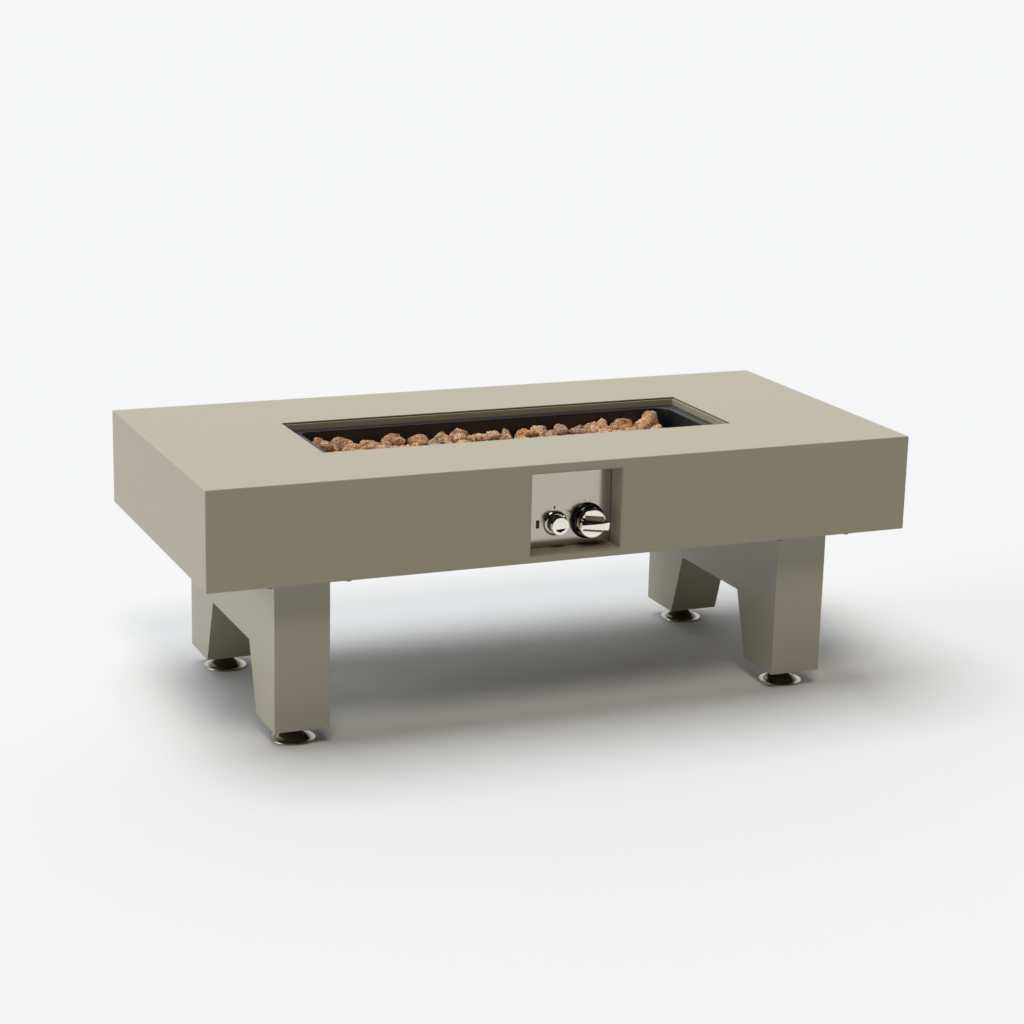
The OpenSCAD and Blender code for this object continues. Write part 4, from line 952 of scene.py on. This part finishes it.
@dataclass
class Knob:
    """The gas knob, a round skirt with a flared grip bar across it, and its bezel.

    Attributes:
        axes: where it stands.
        tilt_deg: turn of its pointer from level.
        face_mm: height of the skirt's face over the panel.
        grip_half_mm: half of the grip's length and of its width.
        grip_back_mm: height of the grip's back, inside the skirt.
        grip_front_mm: height of the grip's front.
        grip_edge_mm: rounding of the front's rim.
        grip_grid: flats along and across the front.
        crown_mm: how far the front falls to its ends and to its sides.
        crown_lean: how much less it falls to its sides towards the pointer.
        crest_lean: how far the crest lies off the middle at the tail, as a share of the half width.
        flank_half_mm: half of the flanks' length, and of their width at the skirt.
        flank_sink_mm: how far the flanks reach into the skirt and into the grip.
        flank_gap_mm: how far they end under the lowest of the front.
        ribs: ribs on each flank.
        rib_mm: their height.
        dot_mm: diameter of the pointer's dot.
        dot_high_mm: its height, and the width of its slanted edge.
        dot_inset_mm: its distance from the grip's end.
        bezel_profile: radius and height of the bezel's outline.
        knob_profile: radius and height of the skirt's outline.
    """

    axes: PanelAxes = PanelAxes()
    tilt_deg: float = -8.0
    face_mm: float = 22.0
    grip_half_mm: Pair = (22.0, 6.3)
    grip_back_mm: float = 14.0
    grip_front_mm: float = 32.0
    grip_edge_mm: float = 0.7
    grip_grid: tuple[int, int] = (24, 12)
    crown_mm: Pair = (0.6, 1.4)
    crown_lean: float = 0.9
    crest_lean: float = 0.45
    flank_half_mm: Pair = (15.5, 12.0)
    flank_sink_mm: float = 0.5
    flank_gap_mm: float = 2.0
    ribs: int = 5
    rib_mm: float = 0.3
    dot_mm: float = 2.4
    dot_high_mm: float = 0.3
    dot_inset_mm: float = 4.0
    bezel_profile: Profile = (
        (21.9, 0.0), (26.75, 0.0), (26.75, 1.7), (26.6, 2.7), (26.2, 4.2), (25.5, 5.9),
        (24.7, 7.3), (23.9, 8.4), (23.1, 9.2), (22.5, 9.5), (22.1, 9.4), (21.9, 9.0),
    )
    knob_profile: Profile = (
        (0.0, 17.5), (18.6, 17.5), (18.6, 5.0), (20.8, 5.0), (21.1, 5.3), (21.1, 20.9),
        (20.95, 21.5), (20.5, 21.9), (20.0, 22.0), (0.0, 22.0),
    )

    def add_grip(self, bm: bmesh.types.BMesh) -> None:
        """Adds the grip bar with its crowned front."""
        half_l, half_w = self.grip_half_mm
        columns, rows = self.grip_grid
        bar = bmesh.ops.create_grid(bm, x_segments=columns, y_segments=rows, size=1.0)["verts"]
        rim = [e for e in bm.edges if e.is_boundary]
        for v in bar:
            along, across = v.co.x, v.co.y
            crest = self.crest_lean * (1.0 - along)
            crown = self.crown_mm[1] - self.crown_lean * along
            drop = self.crown_mm[0] * along**2 + crown * ((across + crest) / (1.0 + crest)) ** 2
            v.co = point_mm(along * half_l, across * half_w, self.grip_front_mm - drop)
        sides = bmesh.ops.extrude_edge_only(bm, edges=rim)["geom"]
        for v in (g for g in sides if isinstance(g, bmesh.types.BMVert)):
            v.co.z = mm(self.grip_back_mm)
        middle = mm((self.grip_back_mm + self.grip_front_mm) / 2.0)
        bend_edges(bm, self.grip_edge_mm, lambda e: all(v.co.z > middle for v in e.verts), 4)

    def add_dot(self, bm: bmesh.types.BMesh) -> None:
        """Adds the dot at the pointer's end of the grip."""
        radius = self.dot_mm / 2.0
        dot = bmesh.ops.create_cone(
            bm,
            cap_ends=True,
            segments=24,
            radius1=mm(radius),
            radius2=mm(radius - self.dot_high_mm),
            depth=mm(self.dot_high_mm),
        )["verts"]
        half_l = self.grip_half_mm[0]
        along = half_l - self.dot_inset_mm
        lift = self.grip_front_mm - self.crown_mm[0] * (along / half_l) ** 2
        bmesh.ops.translate(bm, vec=point_mm(along, 0.0, lift), verts=dot)

    def add_flanks(self, bm: bmesh.types.BMesh) -> None:
        """Adds the flared flanks that carry the grip, one ribbed outline drawn along it."""
        reach, foot = self.flank_half_mm
        sink = self.flank_sink_mm
        top = self.grip_front_mm - self.crown_mm[1] - self.flank_gap_mm
        low, high = (foot, self.face_mm - sink), (self.grip_half_mm[1] - sink, top)
        run, rise = high[0] - low[0], high[1] - low[1]
        length = math.hypot(run, rise)
        outline = []
        for i in range(2 * self.ribs + 1):
            share = i / (2.0 * self.ribs)
            out = self.rib_mm * (i % 2)
            y = low[0] + share * run + out * rise / length
            outline.append((y, low[1] + share * rise - out * run / length))
        around = outline + [(-y, z) for y, z in reversed(outline)]
        end = [bm.verts.new(point_mm(-reach, y, z)) for y, z in around]
        drawn = bmesh.ops.extrude_face_region(bm, geom=[bm.faces.new(end)])["geom"]
        moved = [g for g in drawn if isinstance(g, bmesh.types.BMVert)]
        bmesh.ops.translate(bm, vec=point_mm(2.0 * reach, 0.0, 0.0), verts=moved)
        faces = dict.fromkeys(f for v in end + moved for f in v.link_faces)
        bmesh.ops.recalc_face_normals(bm, faces=list(faces))

    def build(self) -> None:
        """The knob and the bezel around it."""
        bm = turned(self.knob_profile, Matrix.Identity(4), closed=False)
        self.add_grip(bm)
        self.add_flanks(bm)
        self.add_dot(bm)
        place = self.axes.at(self.axes.knob_x_mm, self.tilt_deg)
        bmesh.ops.transform(bm, matrix=place, verts=bm.verts[:])
        knob = Piece("control_knob_plated", "knob", "chrome", NICKEL_CHROME, ("control_knob",))
        knob.build(bm)
        ring = turned(self.bezel_profile, self.axes.at(self.axes.knob_x_mm))
        replaced = ("knob_bezel",)
        bezel = Piece("knob_bezel_moulded", "table", "black_plastic", BLACK_PHENOLIC, replaced)
        bezel.build(ring)


@dataclass
class Igniter:
    """The spark igniter's ring and its push cap.

    Attributes:
        axes: where it stands.
        ring_profile: radius and height of the ring's outline.
        cap_profile: radius and height of the cap's outline, with its hollow front.
    """

    axes: PanelAxes = PanelAxes()
    ring_profile: Profile = (
        (12.35, 0.0), (18.5, 0.0), (18.5, 1.3), (18.2, 2.2), (17.2, 3.1), (15.8, 3.8),
        (14.4, 4.15), (12.8, 4.2), (12.35, 4.0),
    )
    cap_profile: Profile = (
        (0.0, -6.5), (5.0, -6.5), (5.0, 19.1), (8.4, 19.6), (12.7, 19.6), (12.7, 14.5),
        (13.1, 14.5), (13.3, 14.7), (13.3, 20.1), (13.1, 20.7), (12.5, 21.0), (9.0, 21.0),
        (8.75, 20.9), (8.6, 20.6), (8.4, 20.5), (7.4, 20.24), (6.2, 19.96), (5.0, 19.73),
        (3.7, 19.55), (2.4, 19.43), (1.2, 19.36), (0.0, 19.34),
    )

    def build(self) -> None:
        """The ring, then the cap on its own body."""
        place = self.axes.at(self.axes.igniter_x_mm)
        ring = Piece("igniter_bezel_plated", "table", "chrome", CHROME_PLATE, ("igniter_bezel",))
        ring.build(turned(self.ring_profile, place))
        replaced = ("igniter_button",)
        cap = Piece("igniter_button_plated", "igniter_push_cap", "chrome", NICKEL_CHROME, replaced)
        cap.build(turned(self.cap_profile, place, closed=False))


@dataclass
class PanelMarks:
    """Plain printed marks beside the controls: a bar, a drop and two ticks.

    Attributes:
        axes: where the controls stand.
        ink_mm: thickness of the ink.
        bar_low_mm: the bar's lower left corner, seen from the front.
        bar_high_mm: its upper right corner.
        tick_mm: distances of a tick's two ends from the knob's axis.
        tick_half_mm: half of a tick's width.
        tick_turns_deg: turn of each tick about the knob's axis.
        drop_mm: radius of the drop.
        drop_place_mm: its place from the igniter's axis.
        drop_neck_mm: height in the drop from which it narrows to its tip.
        drop_tip: width and height of the tip, as shares of the round drop's.
    """

    axes: PanelAxes = PanelAxes()
    ink_mm: float = 0.06
    bar_low_mm: Pair = (-47.6, -6.0)
    bar_high_mm: Pair = (-42.2, 6.0)
    tick_mm: Pair = (29.0, 31.5)
    tick_half_mm: float = 0.4
    tick_turns_deg: Pair = (82.0, 98.0)
    drop_mm: float = 1.7
    drop_place_mm: Pair = (-1.2, 23.0)
    drop_neck_mm: float = 0.4
    drop_tip: Pair = (0.6, 2.0)

    def build(self) -> None:
        """All the marks as one piece."""
        bm = bmesh.new()
        here = self.axes.at(0.0)
        add_block(bm, (*self.bar_low_mm, 0.0), (*self.bar_high_mm, self.ink_mm), here)
        near, far = self.tick_mm
        for turn_deg in self.tick_turns_deg:
            spot = self.axes.at(self.axes.knob_x_mm, turn_deg)
            low, high = (near, -self.tick_half_mm, 0.0), (far, self.tick_half_mm, self.ink_mm)
            add_block(bm, low, high, spot)
        drop = bmesh.ops.create_circle(bm, cap_ends=True, radius=mm(self.drop_mm), segments=24)
        for v in drop["verts"]:
            if v.co.y > mm(self.drop_neck_mm):
                v.co.x *= self.drop_tip[0]
                v.co.y *= self.drop_tip[1]
        right, up = self.drop_place_mm
        place = here @ Matrix.Translation(point_mm(self.axes.igniter_x_mm + right, up, self.ink_mm))
        bmesh.ops.transform(bm, matrix=place, verts=drop["verts"])
        Piece("panel_marks", "table", "black_plastic", SCREEN_INK).build(bm, flats=False)


@dataclass
class LevellingFeet:
    """Four pressed, plated foot discs, their domes painted darker than their flanges as a painted
    dark reflection.

    Attributes:
        profile: radius and height of the disc's outline.
        dark_dome_from_mm: height from which a face belongs to the dome, which takes the painted
            dark reflection.
        foot_x_mm: place of the feet along the table.
        foot_y_mm: place of the feet across it.
    """

    profile: Profile = (
        (0.0, 0.0), (32.8, 0.0), (33.0, 0.2), (33.0, 1.0), (32.7, 1.6), (31.6, 1.95),
        (26.6, 1.98), (25.3, 2.5), (24.4, 3.6), (23.9, 4.5), (22.9, 5.9), (21.4, 7.3),
        (19.3, 8.9), (17.0, 10.3), (14.9, 12.0), (13.0, 13.8), (11.4, 15.4), (10.2, 16.3),
        (9.6, 16.5), (5.05, 16.5), (5.05, 4.0), (0.0, 4.0),
    )
    dark_dome_from_mm: float = 2.0
    foot_x_mm: float = 399.0
    foot_y_mm: float = 173.0

    def build(self) -> None:
        """The four discs, each on its own body."""
        for end, x in (("left", -self.foot_x_mm), ("right", self.foot_x_mm)):
            for side, y in (("front", -self.foot_y_mm), ("back", self.foot_y_mm)):
                foot = f"{side}_{end}"
                bm = turned(self.profile, Matrix.Translation(point_mm(x, y, 0.0)), closed=False)
                pad = Piece(
                    f"{foot}_pad_pressed", f"{foot}_foot", "chrome", SATIN_NICKEL, (f"{foot}_pad",)
                ).build(bm)
                # Painted reflection: the dome's faces take the dark copy of the plate, the flange
                # keeps the satin one.
                pad.data.materials.append(DOME_PAINTED_REFLECTION.material())
                for face in pad.data.polygons:
                    face.material_index = int(face.center.z > mm(self.dark_dome_from_mm))


@dataclass
class Hardware:
    """Every other part as its CAD shape with broken edges and smooth rounds.

    Attributes:
        finishes: the CAD nodes, by finish.
        edge_mm: how far a node's edges are broken, if not the usual.
        usual_edge_mm: how far edges are broken otherwise.
        sharp_deg: edges that turn by more than this stay crisp.
    """

    finishes: dict[Finish, tuple[str, ...]] = field(
        default_factory=lambda: {
            ZINC_PLATE: (
                "surround_nuts", "pan_screws", "feed_nipple", "feed_elbow", "valve_screws",
                "panel_screws", "heat_shield", "cross_rails", "leg_bolts", "front_left_stem",
                "front_right_stem", "back_left_stem", "back_right_stem",
            ),
            SATIN_STAINLESS: (
                "burner_tube", "burner_saddles", "mixer_tube", "gas_pipe", "thermocouple",
                "sensor_bracket", "electrode_rod",
            ),
            TURNED_BRASS: (
                "pan_locknuts", "gas_jet", "jet_holder", "pipe_nuts", "outlet_elbow",
                "gas_inlet", "magnet_unit",
            ),
            DIE_CAST_ALUMINIUM: ("valve_body",),
            DRAWN_COPPER: ("thermocouple_lead",),
            GLAZED_CERAMIC: ("electrode_insulator",),
            SILICONE_RUBBER: ("ignition_wire",),
            MOULDED_ABS: ("lead_clips", "igniter_barrel"),
            BRUSHED_STAINLESS: ("control_panel",),
            RAIL_SCREW_SHADE: ("rail_screws",),
        }
    )
    edge_mm: dict[str, float] = field(
        default_factory=lambda: {
            "thermocouple_lead": 0.0,
            "ignition_wire": 0.0,
            "burner_tube": 0.0,
            "electrode_rod": 0.0,
            "thermocouple": 0.0,
            "feed_nipple": 0.0,
            "control_panel": 0.15,
            "valve_body": 1.2,
            "cross_rails": 0.5,
        }
    )
    usual_edge_mm: float = 0.3
    sharp_deg: float = 40.0

    def build_finished(self, node: str, finish: Finish, slot: str) -> None:
        """One node's piece.

        Args:
            node: the CAD node it stands for.
            finish: what it is made of.
            slot: the record's material slot.
        """
        bm = merged_copy(node)
        reach = self.edge_mm.get(node, self.usual_edge_mm)
        if reach:
            bend_edges(bm, reach, convex, segments=2)
        body = frame["nodes"][node]["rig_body"]
        Piece(node + "_finished", body, slot, finish, (node,)).build(bm, self.sharp_deg)

    def build(self) -> None:
        """One piece for each node."""
        slots = {s["node"]: s["material_slot"] for s in frame["record"]["subparts"]}
        for finish, nodes in self.finishes.items():
            for node in nodes:
                self.build_finished(node, finish, slots[node])


@dataclass
class ReturnSprings:
    """The springs behind the button and the knob, built where they stand; the real ones shorten as
    those are pushed in.

    Attributes:
        joints: the joint that presses each spring.
        travel_mm: how far both are pushed; not used.
    """

    joints: dict[str, str] = field(
        default_factory=lambda: {"button_spring": "igniter_push", "valve_spring": "knob_push"}
    )
    travel_mm: float = 4.0

    def build(self) -> None:
        """One piece for each spring, where the CAD one stands."""
        for node, joint in self.joints.items():
            bm = merged_copy(node)
            spring = Piece(node + "_finished", "table", "stainless", SATIN_STAINLESS, (node,))
            made = spring.build(bm, flats=False)
            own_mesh(made)


@dataclass
class KeptNodes:
    """The CAD nodes that stay as they are, all of them small or hidden.

    Attributes:
        finishes: the nodes, by finish.
    """

    finishes: dict[Finish, tuple[str, ...]] = field(
        default_factory=lambda: {
            GAP_SHADE_TAPE: ("surround_gasket",),
            TINNED_STEEL: ("battery",),
            SATIN_STAINLESS: ("valve_spindle", "burner_end_caps"),
            TURNED_BRASS: ("safety_plunger",),
            ZINC_PLATE: ("foot_inserts", "leg_weld_nuts"),
        }
    )

    def build(self) -> None:
        """Gives each node its material."""
        for finish, nodes in self.finishes.items():
            for node in nodes:
                shown = frame["nodes"][node]
                if not shown.material_slots:
                    shown.data.materials.append(None)
                for holder in shown.material_slots:
                    holder.link = "OBJECT"
                    holder.material = finish.material()


@dataclass(frozen=True)
class SoftSun:
    """A distant soft light.

    Attributes:
        name: its name.
        toward: where it stands, as a direction from the table.
        strength: its irradiance.
        colour: its sRGB colour.
        spread_deg: its angular size, which softens its shadows.
    """

    name: str
    toward: Point
    strength: float
    colour: str
    spread_deg: float

    def build(self) -> None:
        """Adds the light."""
        data = bpy.data.lights.new(self.name, "SUN")
        data.energy = self.strength
        data.color = linear(self.colour)[:3]
        data.angle = math.radians(self.spread_deg)
        light = bpy.data.objects.new(self.name, data)
        light.rotation_euler = Vector(self.toward).to_track_quat("Z", "Y").to_euler()
        bpy.context.scene.collection.objects.link(light)


@dataclass
class Studio:
    """The camera at the photograph's angle, a pale floor and soft light.

    Attributes:
        place_mm: the camera's place.
        azimuth_deg: its turn about Z from the -Y side.
        elevation_deg: its height angle over what it looks at.
        roll_deg: its roll.
        lens_mm: its focal length.
        sensor_mm: width of its sensor.
        floor_m: half of the floor's side.
        floor_gap_mm: how far the floor lies under the feet, so that their faces don't coincide.
        dim_colour: sRGB colour of the surroundings on the camera's side.
        bright_colour: sRGB colour of the surroundings behind the table.
        fade: from where to where they brighten, as the Y part of a direction.
        suns: the soft lights.
    """

    place_mm: Point = (-1394.1, -3282.2, 1208.4)
    azimuth_deg: float = -23.158
    elevation_deg: float = 14.894
    roll_deg: float = 1.405
    lens_mm: float = 84.24
    sensor_mm: float = 36.0
    floor_m: float = 60.0
    floor_gap_mm: float = 0.3
    dim_colour: str = "#1E1B18"
    bright_colour: str = "#FFFFFF"
    fade: Pair = (-0.2, 0.8)
    suns: tuple[SoftSun, ...] = (
        SoftSun("key_light", (-0.2, 0.15, 1.0), 2.65, "#F6FAFF", 44.0),
        SoftSun("left_light", (-1.0, 0.1, 0.3), 1.15, "#F6FAFF", 30.0),
        SoftSun("front_fill", (-0.2, -0.6, 1.0), 1.1, "#FFF8EE", 20.0),
    )

    def add_camera(self) -> None:
        """The photograph's camera."""
        data = bpy.data.cameras.new("camera")
        data.lens = self.lens_mm
        data.sensor_width = self.sensor_mm
        data.clip_end = 200.0
        azimuth = math.radians(self.azimuth_deg)
        height = math.radians(self.elevation_deg)
        roll = math.radians(self.roll_deg)
        flat = math.cos(height)
        back = Vector((math.sin(azimuth) * flat, -math.cos(azimuth) * flat, math.sin(height)))
        right = (-back).cross(Vector((0.0, 0.0, 1.0))).normalized()
        up = right.cross(-back)
        side = math.cos(roll) * right + math.sin(roll) * up
        top = math.cos(roll) * up - math.sin(roll) * right
        turn = Matrix((side, top, back)).transposed().to_4x4()
        camera = bpy.data.objects.new("camera", data)
        camera.matrix_world = Matrix.Translation(point_mm(*self.place_mm)) @ turn
        bpy.context.scene.collection.objects.link(camera)
        bpy.context.scene.camera = camera

    def add_floor(self) -> None:
        """A plain pale floor that reaches past the view."""
        bm = bmesh.new()
        bmesh.ops.create_grid(bm, x_segments=1, y_segments=1, size=self.floor_m)
        mesh = bpy.data.meshes.new("studio_floor")
        bm.to_mesh(mesh)
        bm.free()
        floor = bpy.data.objects.new("studio_floor", mesh)
        floor.location.z = -mm(self.floor_gap_mm)
        mesh.materials.append(STUDIO_FLOOR.material())
        bpy.context.scene.collection.objects.link(floor)

    def add_world(self) -> None:
        """Soft light all round: bright behind the table, dim on the camera's side."""
        world = bpy.data.worlds.new("studio_light")
        bpy.context.scene.world = world
        world.use_nodes = True
        tree = world.node_tree
        ground = tree.nodes["Background"]
        place = add_node(tree, "ShaderNodeTexCoord").outputs["Generated"]
        split = add_node(tree, "ShaderNodeSeparateXYZ", inputs={"Vector": place})
        fade = add_node(
            tree,
            "ShaderNodeMapRange",
            inputs={
                "Value": split.outputs["Y"],
                "From Min": self.fade[0],
                "From Max": self.fade[1],
            },
        )
        shade = add_node(
            tree,
            "ShaderNodeMix",
            {"data_type": "RGBA"},
            {
                "Factor": fade.outputs["Result"],
                MIX_FIRST: linear(self.dim_colour),
                MIX_SECOND: linear(self.bright_colour),
            },
        )
        tree.links.new(shade.outputs[MIX_RESULT], ground.inputs["Color"])
        ground.inputs["Strength"].default_value = 1.0

    def build(self) -> None:
        """Camera, floor and lights, with colours shown as they are."""
        self.add_camera()
        self.add_floor()
        self.add_world()
        for sun in self.suns:
            sun.build()
        view = bpy.context.scene.view_settings
        view.view_transform = "Standard"
        view.look = "None"
        view.exposure = 0.0
        view.gamma = 1.0


class SubAssembly(Protocol):
    """Anything that adds its pieces to the scene."""

    def build(self) -> None:
        """Adds the pieces."""


def main() -> None:
    """Builds the scene, sub-assembly by sub-assembly."""
    logging.basicConfig(level=logging.INFO, format="%(name)s: %(message)s")
    assemblies: tuple[SubAssembly, ...] = (
        Studio(),
        PaintedSheetWork(),
        PressedPan(),
        LavaBed(),
        Knob(),
        Igniter(),
        PanelMarks(),
        LevellingFeet(),
        Hardware(),
        ReturnSprings(),
        KeptNodes(),
    )
    for assembly in assemblies:
        LOG.info("building %s", type(assembly).__name__)
        assembly.build()


if __name__ == "__main__":
    main()
